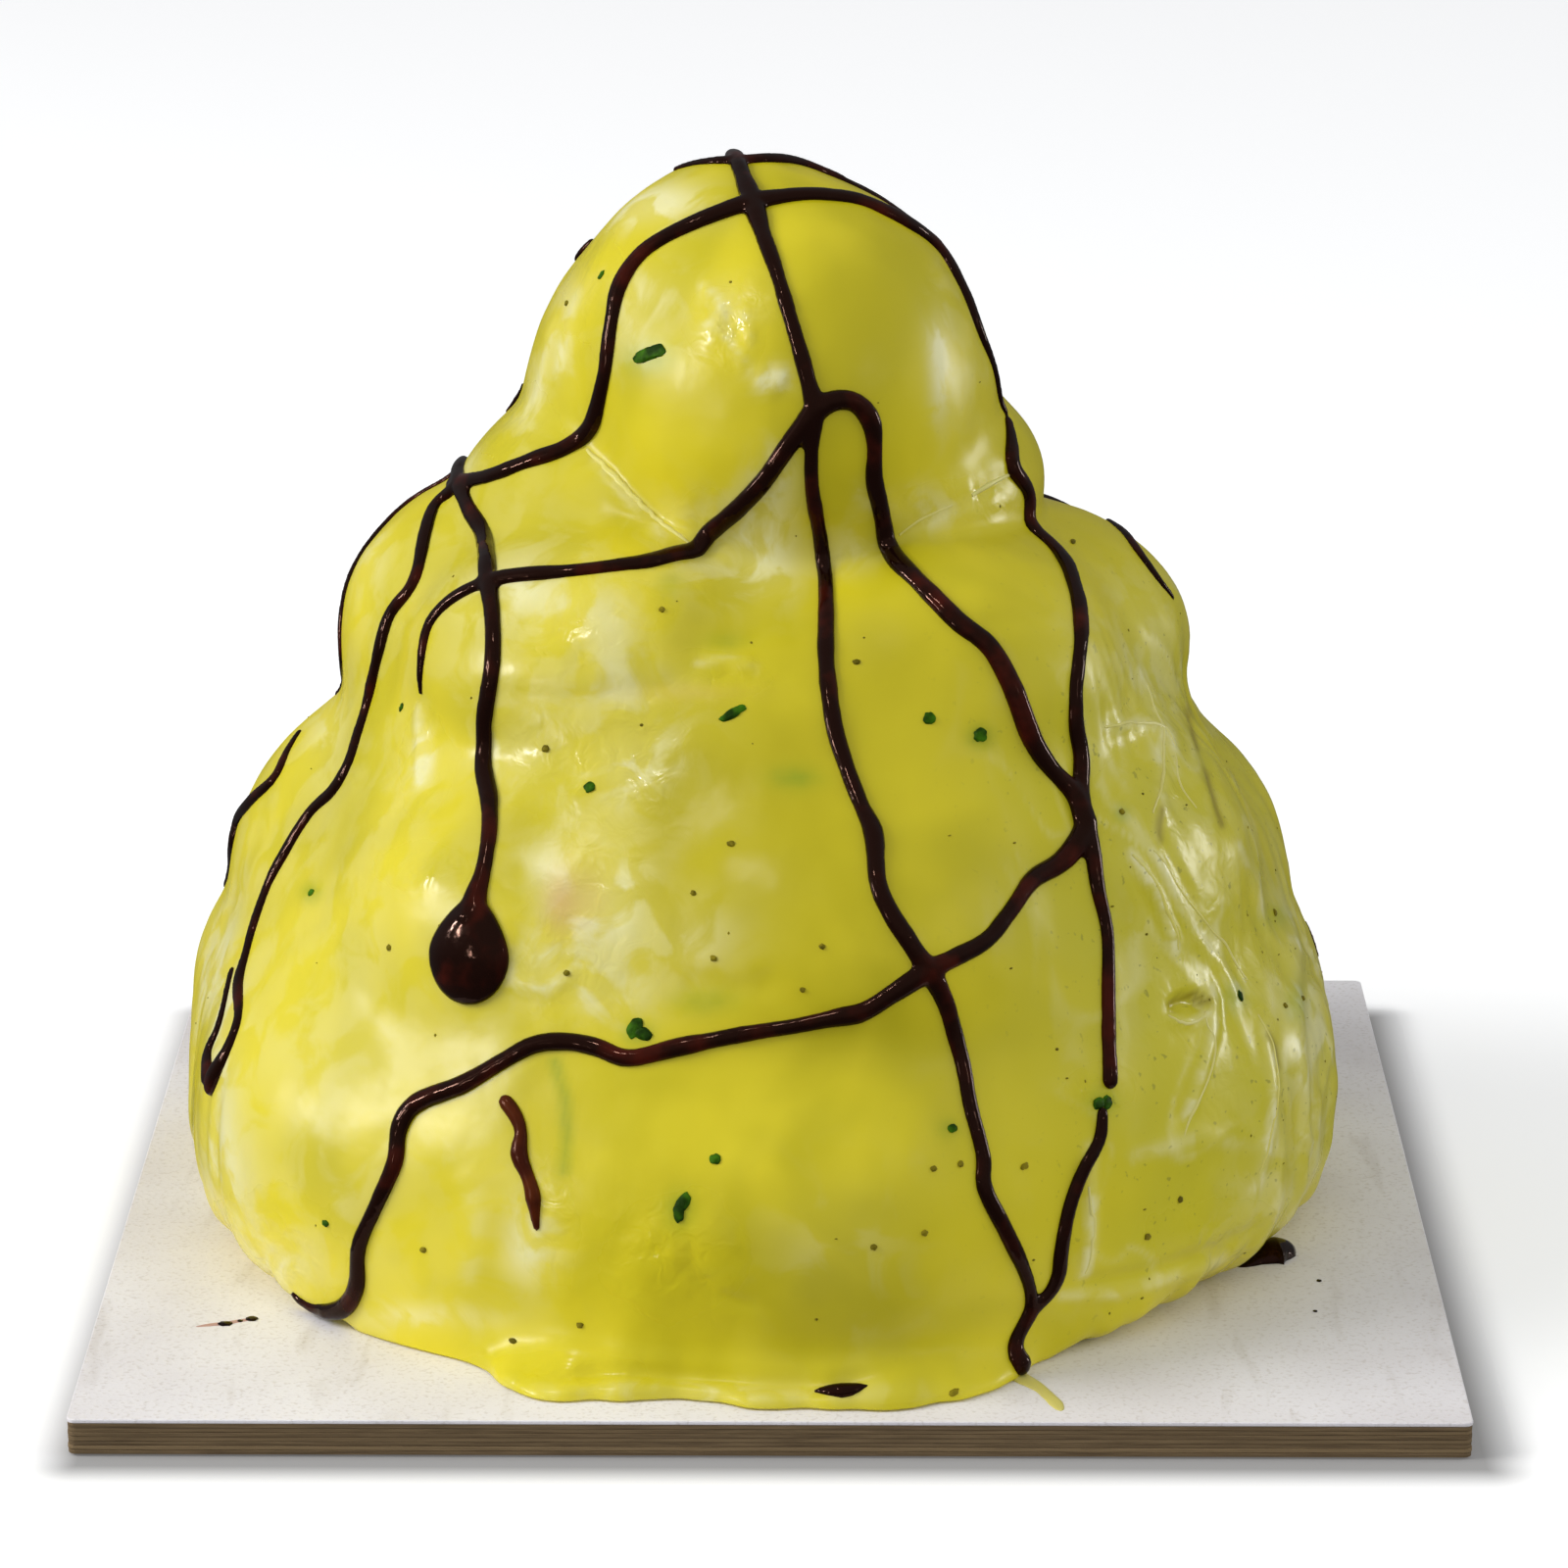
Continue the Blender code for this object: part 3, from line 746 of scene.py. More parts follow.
def smooth_route(points: np.ndarray, widths: np.ndarray, step: float) -> tuple[np.ndarray, np.ndarray]:
    """Points evenly along a smooth line.

    Args:
        points: The places it passes.
        widths: A width at each.
        step: The distance between the new points.

    Returns:
        The points, and a width at each.
    """
    padded = np.vstack([2 * points[0] - points[1], points, 2 * points[-1] - points[-2]])
    fine, spans = [], 16
    for a, b, c, d in zip(padded, padded[1:], padded[2:], padded[3:]):
        for t in np.linspace(0, 1, spans, endpoint=False):
            bend = (2 * a - 5 * b + 4 * c - d) * t**2 + (3 * b - a - 3 * c + d) * t**3
            fine.append(0.5 * (2 * b + (c - a) * t + bend))
    line = np.array(fine + [points[-1]])
    along = np.concatenate([[0], np.cumsum(np.linalg.norm(np.diff(line, axis=0), axis=1))])
    places = np.linspace(0, along[-1], max(4, round(along[-1] / step) + 1))
    even = np.stack([np.interp(places, along, line[:, k]) for k in range(3)], axis=1)
    stated = np.interp(np.arange(len(line)) / spans, np.arange(len(widths)), widths)
    broad = np.interp(places, along, stated)
    return even, broad


def line_distance(places: np.ndarray, route: Sequence[Pixel]) -> tuple[np.ndarray, np.ndarray]:
    """How far places of the picture lie from a line.

    Args:
        places: Points of the picture.
        route: The line's corners.

    Returns:
        The distances, and the share of the line's corners passed at the nearest point.
    """
    best = np.full(len(places), 1e9)
    share = np.zeros(len(places))
    corners = np.array([p[:2] for p in route], float)
    for k, (a, b) in enumerate(zip(corners, corners[1:])):
        t = np.clip(((places - a) @ (b - a)) / max(float((b - a) @ (b - a)), 1e-9), 0, 1)
        gap = np.linalg.norm(places - a - t[:, None] * (b - a), axis=1)
        nearer = gap < best
        best = np.where(nearer, gap, best)
        share = np.where(nearer, (k + t) / (len(corners) - 1), share)
    return best, share


@dataclass
class GlazedStack:
    """The coat over the puffs, with its folds, drag lines, dents and stains.

    A groove, ridge or swell is its route in the picture, its width in picture points and its height in
    millimetres. A patch is its middle in the picture, its half widths there and its strength.
    """

    meridians: int = 416
    rings: int = 236
    seen_half_deg: float = 100.0
    unseen_gap: float = 2.6
    lumps: tuple = ((0.00036, (55, 55, 45), 3.7, 1), (0.00018, (130, 130, 85), 9.1, 2))
    rough_height: float = 0.00019
    drag_height: float = 0.00052
    base_height: float = 0.0003
    ray_rise: float = 0.098
    last_climb_deg: float = 89.6
    cast: float = 0.13
    flank_deg: float = 95.0
    flank_half_deg: tuple = (48, 75)
    drag_radius: float = 0.075
    drag_slant: float = 0.25
    slant_from: float = 0.045
    drag_swirl: float = 0.012
    drag_scale: tuple = (105, 46, 1)
    drag_milk_and_sheen: float = 0.24
    drag_line: float = 0.09
    flank_olive: float = 0.75
    # Strength of the painted shade on the coat's right side.
    right_olive_shade: float = 0.35
    grooves: tuple = (
        (((598, 458), (622, 478), (652, 510), (684, 539)), 7, 0.55),
        (((1034, 483), (1012, 494), (994, 506), (940, 533), (900, 560)), 9, 0.5),
        (((500, 706), (580, 716), (660, 702), (712, 690), (766, 696), (826, 716)), 14, 0.35),
        (((1000, 636), (1040, 632), (1090, 630)), 10, 0.25),
        (((560, 1406), (640, 1401), (740, 1408), (840, 1414), (900, 1408)), 10, 0.9),
        (((700, 1262), (706, 1296), (732, 1322), (780, 1338)), 9, 0.35),
        (((1195, 1030), (1204, 1022), (1218, 1020), (1230, 1028)), 5.5, 1.5),
        (((1185, 882), (1218, 941), (1251, 985), (1280, 1029)), 6, 0.4),
        (((1214, 728), (1232, 780), (1250, 838)), 6, 0.45),
        (((1083, 1311), (1130, 1306), (1178, 1297), (1240, 1276), (1289, 1250)), 9, 0.6),
        (((1222, 1020), (1226, 1060), (1208, 1120), (1200, 1150)), 9, 0.35),
        (((1306, 1060), (1314, 1100), (1308, 1160), (1292, 1216)), 8, 0.4),
        (((1330, 930), (1338, 1050), (1346, 1109)), 6, 0.35),
        (((735, 318), (748, 336), (752, 352)), 11, 0.5), (((500, 742), (514, 786), (508, 830)), 16, 0.25),
        (((516, 880), (540, 930), (530, 990)), 18, 0.25),
        (((1130, 560), (1150, 640), (1160, 720)), 16, 0.3),
        (((1128, 880), (1150, 960), (1158, 1060), (1150, 1160)), 14, 0.3),
        (((420, 700), (440, 760), (436, 800)), 10, 0.3),
        (((690, 1000), (740, 1010), (800, 1004)), 14, 0.25),
    )
    ridges: tuple = (
        (((606, 470), (640, 508), (680, 548)), 8, 0.3), (((716, 292), (730, 302), (742, 322)), 7, 0.4),
        (((722, 330), (742, 346), (764, 374)), 7, 0.4), (((754, 316), (764, 336), (766, 354)), 7, 0.35),
        (((770, 384), (788, 394), (802, 380)), 7, 0.35), (((566, 330), (556, 370), (548, 420)), 8, 0.3),
        (((590, 300), (578, 340), (570, 390)), 8, 0.25),
        (((1155, 872), (1182, 916), (1198, 969)), 8, 0.8),
        (((1164, 690), (1176, 740), (1186, 800), (1180, 850)), 10, 0.5),
        (((1194, 1036), (1204, 1042), (1220, 1042), (1230, 1034)), 6, 0.5),
        (((1176, 868), (1208, 930), (1242, 980), (1272, 1026)), 8, 0.6),
        (((1236, 1007), (1236, 1051), (1220, 1109), (1210, 1139)), 8, 0.6),
        (((1287, 1051), (1298, 1095), (1293, 1153), (1280, 1212)), 8, 0.6),
        (((1317, 933), (1324, 1050), (1331, 1109)), 8, 0.35),
        (((1126, 742), (1160, 738), (1192, 750), (1198, 790)), 9, 0.5),
        (((1111, 1168), (1112, 1230), (1108, 1300)), 8, 0.7),
        (((1084, 1322), (1140, 1320), (1200, 1302), (1250, 1284)), 9, 0.35),
        (((1260, 860), (1274, 890), (1286, 930)), 7, 0.3),
        (((1160, 1180), (1220, 1160), (1280, 1170)), 12, 0.3),
        (((425, 720), (430, 760), (428, 800)), 6, 0.5), (((712, 676), (744, 674), (772, 682)), 7, 0.3),
        (((520, 1000), (560, 1010), (590, 990)), 9, 0.25),
        (((880, 500), (930, 540), (1000, 510)), 16, 0.25),
        (((470, 1190), (490, 1240), (480, 1300)), 16, 0.2),
    )
    swells: tuple = (
        (((925, 950), (928, 1100), (924, 1290), (915, 1380)), 80, 0.9),
        (((600, 1230), (640, 1300), (650, 1370)), 60, 0.4),
    )
    # Pale patches: cloudy thin glaze, and painted highlights where the coat catches the light.
    milky_and_sheen: tuple = (
        ((664, 300), (46, 26), 0.75), ((640, 350), (26, 36), 0.4), ((742, 326), (30, 28), 0.35),
        ((655, 208), (64, 24), 0.9), ((786, 386), (20, 12), 0.9), ((432, 768), (9, 30), 0.9),
        ((958, 350), (8, 60), 0.5), ((620, 1010), (50, 34), 0.6), ((460, 470), (26, 20), 0.8),
        ((225, 1000), (18, 180), 0.6), ((1335, 960), (36, 160), 0.45), ((775, 560), (36, 46), 1.0),
        ((790, 486), (22, 34), 0.5), ((575, 330), (16, 60), 0.45), ((540, 400), (20, 50), 0.45),
        ((716, 560), (46, 40), 0.5), ((545, 605), (54, 36), 0.75), ((620, 650), (30, 40), 0.4),
        ((530, 765), (34, 34), 0.8), ((620, 700), (60, 24), 0.35), ((640, 770), (60, 44), 0.45),
        ((640, 800), (30, 40), 0.5), ((610, 930), (44, 56), 1.2), ((552, 884), (24, 20), 0.45),
        ((548, 985), (22, 26), 0.8), ((700, 960), (60, 40), 0.3), ((545, 1270), (28, 44), 0.9),
        ((960, 366), (14, 60), 0.45), ((990, 340), (24, 90), 0.2), ((945, 520), (50, 22), 0.5),
        ((870, 560), (30, 24), 0.35), ((1150, 640), (60, 60), 0.2), ((1180, 700), (36, 30), 0.25),
        ((1170, 800), (30, 60), 0.2), ((1240, 860), (40, 80), 0.15), ((1150, 1010), (24, 110), 0.1),
        ((230, 1200), (30, 60), 0.6), ((280, 1290), (50, 26), 0.5), ((430, 1345), (80, 14), 0.5),
        ((330, 1000), (170, 330), 0.20), ((520, 640), (150, 190), 0.14), ((340, 1230), (40, 40), 0.15),
        ((700, 1422), (190, 12), 0.5), ((855, 1285), (75, 80), 0.2), ((210, 1040), (12, 70), 0.5),
        ((1340, 1080), (24, 90), 0.45), ((1300, 1200), (40, 50), 0.4), ((380, 560), (16, 70), 0.35),
        ((330, 740), (20, 60), 0.3),
    )
    # Dark lines: brown marks in the glaze; the last is painted shadow inside the small crater's upper rim.
    scores_and_shadow: tuple = (
        ((1213, 722), (1217, 742), (1222, 762)), ((1232, 786), (1240, 812), (1248, 842)),
        ((1184, 826), (1182, 842), (1184, 856)), ((1292, 1058), (1300, 1072), (1303, 1090)),
        ((1194, 1026), (1204, 1017), (1220, 1015), (1233, 1023)),
    )
    # Deeper patches: heavier glaze, and painted shade where the coat is to read darker.
    deeps_and_shade: tuple = (
        ((790, 850), (130, 150), 1.0), ((530, 850), (30, 34), 0.6), ((700, 920), (70, 80), 0.7),
        ((690, 800), (60, 60), 0.5), ((900, 660), (70, 60), 0.9), ((1020, 640), (50, 60), 0.5),
        ((870, 330), (60, 90), 0.45), ((740, 400), (70, 40), 0.4), ((560, 520), (70, 34), 0.35),
        ((500, 660), (60, 60), 0.35), ((460, 1080), (60, 60), 0.45), ((540, 1110), (40, 50), 0.3),
        ((1030, 460), (30, 40), 0.6),
    )
    blushes: tuple = (
        ((572, 920), (17, 30), 0.75), ((600, 916), (20, 30), 0.3), ((700, 706), (60, 10), 0.2),
    )
    stains: tuple = (
        ((811, 793), (26, 13), 0.55), ((720, 1022), (34, 14), 0.4), ((662, 366), (26, 16), 0.5),
        ((1000, 752), (14, 12), 0.6), ((651, 1056), (16, 14), 0.5), ((694, 1234), (16, 20), 0.5),
        ((740, 655), (24, 10), 0.3), ((1125, 1124), (16, 14), 0.5), ((684, 596), (16, 14), 0.25),
        ((318, 911), (10, 10), 0.5), ((966, 1152), (12, 10), 0.35), ((1258, 1018), (12, 16), 0.4),
        ((1322, 1024), (12, 20), 0.4), ((1300, 936), (14, 12), 0.3), ((1144, 830), (8, 8), 0.5),
    )
    streak: tuple = ((566, 1084), (576, 1120), (578, 1160), (576, 1194))
    rough_spots: tuple = (
        ((742, 330), (34, 34), 0.9), ((590, 640), (70, 60), 0.6), ((720, 550), (40, 40), 0.7),
        ((730, 690), (50, 20), 0.7), ((650, 770), (40, 60), 0.8), ((560, 780), (70, 50), 0.5),
        ((600, 960), (60, 70), 0.7), ((690, 1280), (60, 50), 0.9), ((560, 1250), (30, 60), 0.5),
        ((432, 780), (20, 50), 0.8), ((430, 885), (40, 20), 0.8), ((1120, 1110), (30, 20), 0.8),
        ((1180, 800), (60, 90), 0.45), ((1240, 1000), (70, 120), 0.3), ((980, 510), (60, 20), 0.6),
        ((610, 300), (30, 60), 0.5), ((530, 430), (40, 40), 0.5), ((270, 1280), (70, 60), 0.7),
        ((560, 1400), (90, 20), 0.6), ((1250, 1270), (60, 40), 0.8), ((800, 500), (16, 30), 0.6),
    )

    def azimuths(self) -> np.ndarray:
        """Directions round the axis, closer together on the seen side."""
        turn = np.linspace(-math.pi, math.pi, 2001)
        inner, outer = (math.radians(self.seen_half_deg + margin) for margin in (-20, 20))
        behind = smooth_step(np.abs(turn), inner, outer)
        density = 1 / (1 + (self.unseen_gap - 1) * behind)
        share = np.concatenate([[0.0], np.cumsum((density[1:] + density[:-1]) / 2)])
        steps = np.linspace(0, share[-1], self.meridians, endpoint=False)
        return np.interp(steps, share, turn)

    def bare_surface(self) -> np.ndarray:
        """Points of the coat before its fine relief, ring by ring from the foot to near the top."""
        share = np.repeat(np.linspace(0, 1, self.rings), self.meridians)
        azimuth = np.tile(self.azimuths(), self.rings)
        height = FORM.floor + 0.0001 + self.ray_rise * share**1.3
        climb = math.radians(self.last_climb_deg) * share**2.2
        level = np.cos(climb)
        rays = np.stack([np.sin(azimuth) * level, -np.cos(azimuth) * level, np.sin(climb)], axis=1)
        starts = np.zeros((len(share), 3))
        starts[:, 0] = FORM.axis_shift(height - FORM.thickness)
        starts[:, 2] = height
        return FORM.first_hits(starts + rays * self.cast, -rays, 0.0, self.cast)[0]

    def flank(self, points: np.ndarray) -> np.ndarray:
        """1 on the dragged, wrinkled right flank and round to the back, 0 elsewhere."""
        azimuth = np.degrees(np.arctan2(points[:, 0], -points[:, 1]))
        turned = np.abs(azimuth - self.flank_deg)
        inner, outer = self.flank_half_deg
        height = points[:, 2]
        upright = smooth_step(-height, -0.100, -0.080) * smooth_step(height, 0.004, 0.02)
        return smooth_step(-turned, -outer, -inner) * upright

    def drag(self, points: np.ndarray) -> np.ndarray:
        """Smooth random values drawn out along the way the flank's coat was dragged down."""
        azimuth = np.arctan2(points[:, 0], -points[:, 1])
        swirl = self.drag_swirl * lumpy(points, 62, 21.3)
        slant = self.drag_slant * np.clip(points[:, 2] - self.slant_from, 0, None)
        across = azimuth * self.drag_radius + slant + swirl
        unrolled = np.stack([across, points[:, 2] + swirl * 0.5, np.zeros(len(points))], axis=1)
        return lumpy(unrolled, self.drag_scale, 5.5, 2)

    def relief(self, points: np.ndarray, normals: np.ndarray) -> np.ndarray:
        """How far the coat's fine forms stand out at its points, in metres."""
        pixels = EYE.project(points)
        facing = EYE.facing(points, normals)
        rise = np.zeros(len(points))
        for sign, marks in ((Mark.GROOVE, self.grooves), (Mark.RIDGE, self.ridges)):
            for route, width, depth in marks:
                gap, share = line_distance(pixels, route)
                taper = np.clip(np.minimum(share, 1 - share) * 6 + 0.25, 0, 1)
                rise += sign.value * depth / 1000 * np.exp(-((gap / width) ** 2)) * taper * facing
        for route, width, height in self.swells:
            gap, _ = line_distance(pixels, route)
            rise += height / 1000 * np.exp(-((gap / width) ** 2)) * facing
        for height, scale, seed, octaves in self.lumps:
            rise += height * lumpy(points, scale, seed, octaves)
        rough = self.patch_sum(pixels, self.rough_spots) * facing
        rise += self.rough_height * rough * lumpy(points, 300, 27.4, 2)
        creased = 1 - 2 * np.abs(self.drag(points))
        rise += self.flank(points) * (1 - 0.45 * facing) * self.drag_height * creased
        base = smooth_step(-points[:, 2], -0.030, -0.010)
        rise += base * self.base_height * lumpy(points, (120, 120, 60), 15.2)
        hold = smooth_step(points[:, 2], FORM.floor + 0.0002, FORM.floor + 0.0030)
        return rise * hold

    def patch_sum(self, pixels: np.ndarray, patches: Sequence[tuple]) -> np.ndarray:
        """Soft patches added up at points of the picture."""
        total = np.zeros(len(pixels))
        for centre, radii, strength in patches:
            offset = (pixels - np.array(centre)) / np.array(radii)
            total += strength * np.exp(-(offset**2).sum(axis=1))
        return total

    def shades(self, points: np.ndarray, normals: np.ndarray) -> dict[str, np.ndarray]:
        """The coat's shares of each kind of glaze, painted highlights and painted shade among them, by
        attribute name.
        """
        pixels = EYE.project(points)
        facing = EYE.facing(points, normals)
        uneven = lumpy(points, 90, 31.0, 2)
        behind = 1 - facing
        milky_and_sheen = self.patch_sum(pixels, self.milky_and_sheen) * facing * (0.85 + 0.5 * uneven)
        milky_and_sheen += behind * smooth_step(lumpy(points, 50, 44.0, 2), 0.15, 0.75) * 0.6
        # Painted highlight: pale colour along each ridge's crest.
        for route, width, height in self.ridges:
            gap, _ = line_distance(pixels, route)
            milky_and_sheen += height * np.exp(-((gap / width / 0.6) ** 2)) * facing
        flank = self.flank(points)
        # Pale drag lines on the flank: whitish thin glaze, and painted highlight on the crests.
        milky_and_sheen += self.drag_milk_and_sheen * flank * np.exp(-((self.drag(points) / self.drag_line) ** 2))
        olive_and_shade = self.flank_olive * flank * (0.8 + 0.5 * uneven)
        # Painted shade: the coat's right side, as seen, turns dull greenish and darker.
        olive_and_shade += self.right_olive_shade * smooth_step(points[:, 0], 0.0, 0.06) * facing
        gap, _ = line_distance(pixels, self.streak)
        herb = self.patch_sum(pixels, self.stains) + 0.45 * np.exp(-((gap / 7) ** 2))
        score_and_shadow = np.zeros(len(points))
        for route in self.scores_and_shadow:
            gap, _ = line_distance(pixels, route)
            score_and_shadow += 0.6 * np.exp(-((gap / 3.5) ** 2))
        rough = self.patch_sum(pixels, self.rough_spots) * facing
        rough += behind * smooth_step(uneven, 0.1, 0.6) * 0.6
        return {
            "milky_and_sheen": milky_and_sheen,
            "olive_and_shade": olive_and_shade,
            "herb": herb * facing,
            "blush": self.patch_sum(pixels, self.blushes) * facing,
            "deep": self.patch_sum(pixels, self.deeps_and_shade) * facing,
            "score_and_shadow": score_and_shadow * facing,
            "rough": rough,
        }

    def build(self, finish: bpy.types.Material) -> bpy.types.Object:
        """Builds the coat.

        Args:
            finish: The glaze.

        Returns:
            The coat as one closed mesh.
        """
        bare = self.bare_surface()
        normals = FORM.outward(bare)
        points = bare + normals * self.relief(bare, normals)[:, None]
        points[:, 2] = np.maximum(points[:, 2], FORM.floor)
        points[: self.meridians, 2] = FORM.floor
        last = points[-self.meridians :].mean(axis=0)
        foot = np.array((FORM.foot_shift, 0.0, FORM.floor))
        corners = np.vstack([points, last, foot])
        tip, base = len(points), len(points) + 1
        faces = []
        for ring in range(self.rings - 1):
            low, high = ring * self.meridians, (ring + 1) * self.meridians
            for k in range(self.meridians):
                n = (k + 1) % self.meridians
                faces.append((low + k, low + n, high + n, high + k))
        top = (self.rings - 1) * self.meridians
        for k in range(self.meridians):
            n = (k + 1) % self.meridians
            faces.append((top + k, top + n, tip))
            faces.append((n, k, base))
        mesh = bpy.data.meshes.new("coat")
        mesh.from_pydata(corners.tolist(), [], faces)
        mesh.materials.append(finish)
        mesh.polygons.foreach_set("use_smooth", [True] * len(mesh.polygons))
        for name, values in self.shades(bare, normals).items():
            attribute = mesh.attributes.new(name, "FLOAT", "POINT")
            padded = np.concatenate([np.clip(values, 0, 1), [0.0, 0.0]])
            attribute.data.foreach_set("value", padded.astype(np.float32))
        return place_piece("lemon_glaze_coat", mesh)


@dataclass
class Strands:
    """Round strands that lie along the coat, each a route with a share of the usual width."""

    coat: BVHTree
    radius: float
    lift: float
    step: float = 0.0012
    profile_points: int = 12
    unevenness: float = 0.13
    seed: int = 4

    def laid(self, points: np.ndarray, widths: np.ndarray) -> tuple[np.ndarray, np.ndarray]:
        """A strand's centreline on the coat or the board, and its radii."""
        line, broad = smooth_route(points, widths, self.step)
        radii = broad * self.radius
        for k, place in enumerate(line):
            if place[2] > FORM.floor + 0.0012:
                hit, normal, _, _ = self.coat.find_nearest(Vector(place))
                line[k] = hit + normal * (radii[k] * self.lift)
        line[:, 2] = np.maximum(line[:, 2], FORM.thickness + radii * 0.55)
        return line, radii

    def seen(self, route: Sequence[tuple]) -> tuple[np.ndarray, np.ndarray]:
        """A strand laid through picture points that carry its widths."""
        return self.laid(FORM.seen(route), np.array([p[2] for p in route]))

    def as_curve(self, strands: Iterable[tuple[np.ndarray, np.ndarray]]) -> bpy.types.Object:
        """Strands as the splines of one curve object."""
        curve = bpy.data.curves.new("strands", "CURVE")
        curve.dimensions = "3D"
        for line, radii in strands:
            spline = curve.splines.new("POLY")
            spline.points.add(len(line) - 1)
            spline.points.foreach_set("co", np.column_stack([line, np.ones(len(line))]).ravel())
            spline.points.foreach_set("radius", radii / self.radius)
        made = bpy.data.objects.new("strands", curve)
        bpy.context.scene.collection.objects.link(made)
        return made

    def sweep(self, material: bpy.types.Material) -> NodeGroup:
        """The tree that draws a round section of uneven width along every strand."""
        group = NodeGroup("drawn_strand")
        radius = group.number("Radius", self.radius)
        uneven = group.number("Unevenness", self.unevenness)
        seed = group.number("Seed", float(self.seed))
        place = group.node("GeometryNodeInputPosition").outputs[0]
        waves = group.value(
            "ShaderNodeTexNoise",
            {"noise_dimensions": "4D"},
            {"Vector": place, "W": seed, "Scale": 170.0, "Detail": 2.0},
        )
        swell = ((waves - 0.5) * uneven).math("MULTIPLY_ADD", 4.0, 1.0)
        size = group.value("GeometryNodeInputRadius") * swell
        ring = group.node(
            "GeometryNodeCurvePrimitiveCircle",
            {"mode": "RADIUS"},
            {"Resolution": self.profile_points, "Radius": radius},
        )
        tube = group.node(
            "GeometryNodeCurveToMesh",
            {},
            {"Curve": group.geometry, "Profile Curve": ring.outputs[0], "Scale": size, "Fill Caps": True},
        )
        group.finish(tube.outputs[0], material)
        return group


@dataclass
class CoatFolds(Strands):
    """Thin raised lines of glaze: the crisp crests of folds."""

    radius: float = 0.00034
    lift: float = -0.42
    step: float = 0.0006
    profile_points: int = 10
    unevenness: float = 0.22
    seed: int = 21
    folds: tuple = (
        ((598, 458, 0.8), (622, 480, 1.8), (652, 512, 1.4), (684, 540, 1.0), (704, 554, 0.5)),
        ((1034, 483, 0.7), (1012, 494, 1.2), (994, 506, 0.8)),
        ((972, 516, 0.5), (940, 530, 0.8), (918, 546, 0.5)),
        (
            (1155, 872, 0.7), (1164, 884, 1.3), (1178, 902, 1.3), (1188, 930, 1.1), (1196, 950, 1.0),
            (1200, 969, 0.5),
        ),
        ((1176, 868, 0.5), (1208, 912, 0.8), (1236, 950, 0.7), (1252, 966, 0.9), (1272, 1000, 0.5)),
        ((1228, 1040, 0.5), (1238, 1070, 0.8), (1232, 1100, 0.7), (1218, 1130, 0.8), (1206, 1160, 0.4)),
        ((1282, 1036, 0.5), (1296, 1070, 0.8), (1300, 1110, 0.9), (1294, 1150, 0.8), (1282, 1196, 0.5)),
        ((1192, 1036, 0.4), (1202, 1043, 0.9), (1218, 1043, 0.9), (1232, 1034, 0.4)),
        ((1170, 700, 0.5), (1182, 744, 0.9), (1186, 790, 0.8), (1176, 830, 0.5)),
        ((1196, 770, 0.4), (1206, 800, 0.8), (1222, 824, 0.5)),
        ((1126, 742, 0.5), (1156, 738, 1.0), (1184, 746, 1.0), (1196, 764, 0.6)),
        ((1110, 1210, 0.5), (1112, 1250, 0.9), (1108, 1300, 0.6)),
    )

    def build(self, finish: bpy.types.Material) -> bpy.types.Object:
        """The folds' crests as one piece."""
        strands = [self.seen(route) for route in self.folds]
        return self.sweep(finish).run(self.as_curve(strands), "glaze_folds", Seed=float(self.seed))


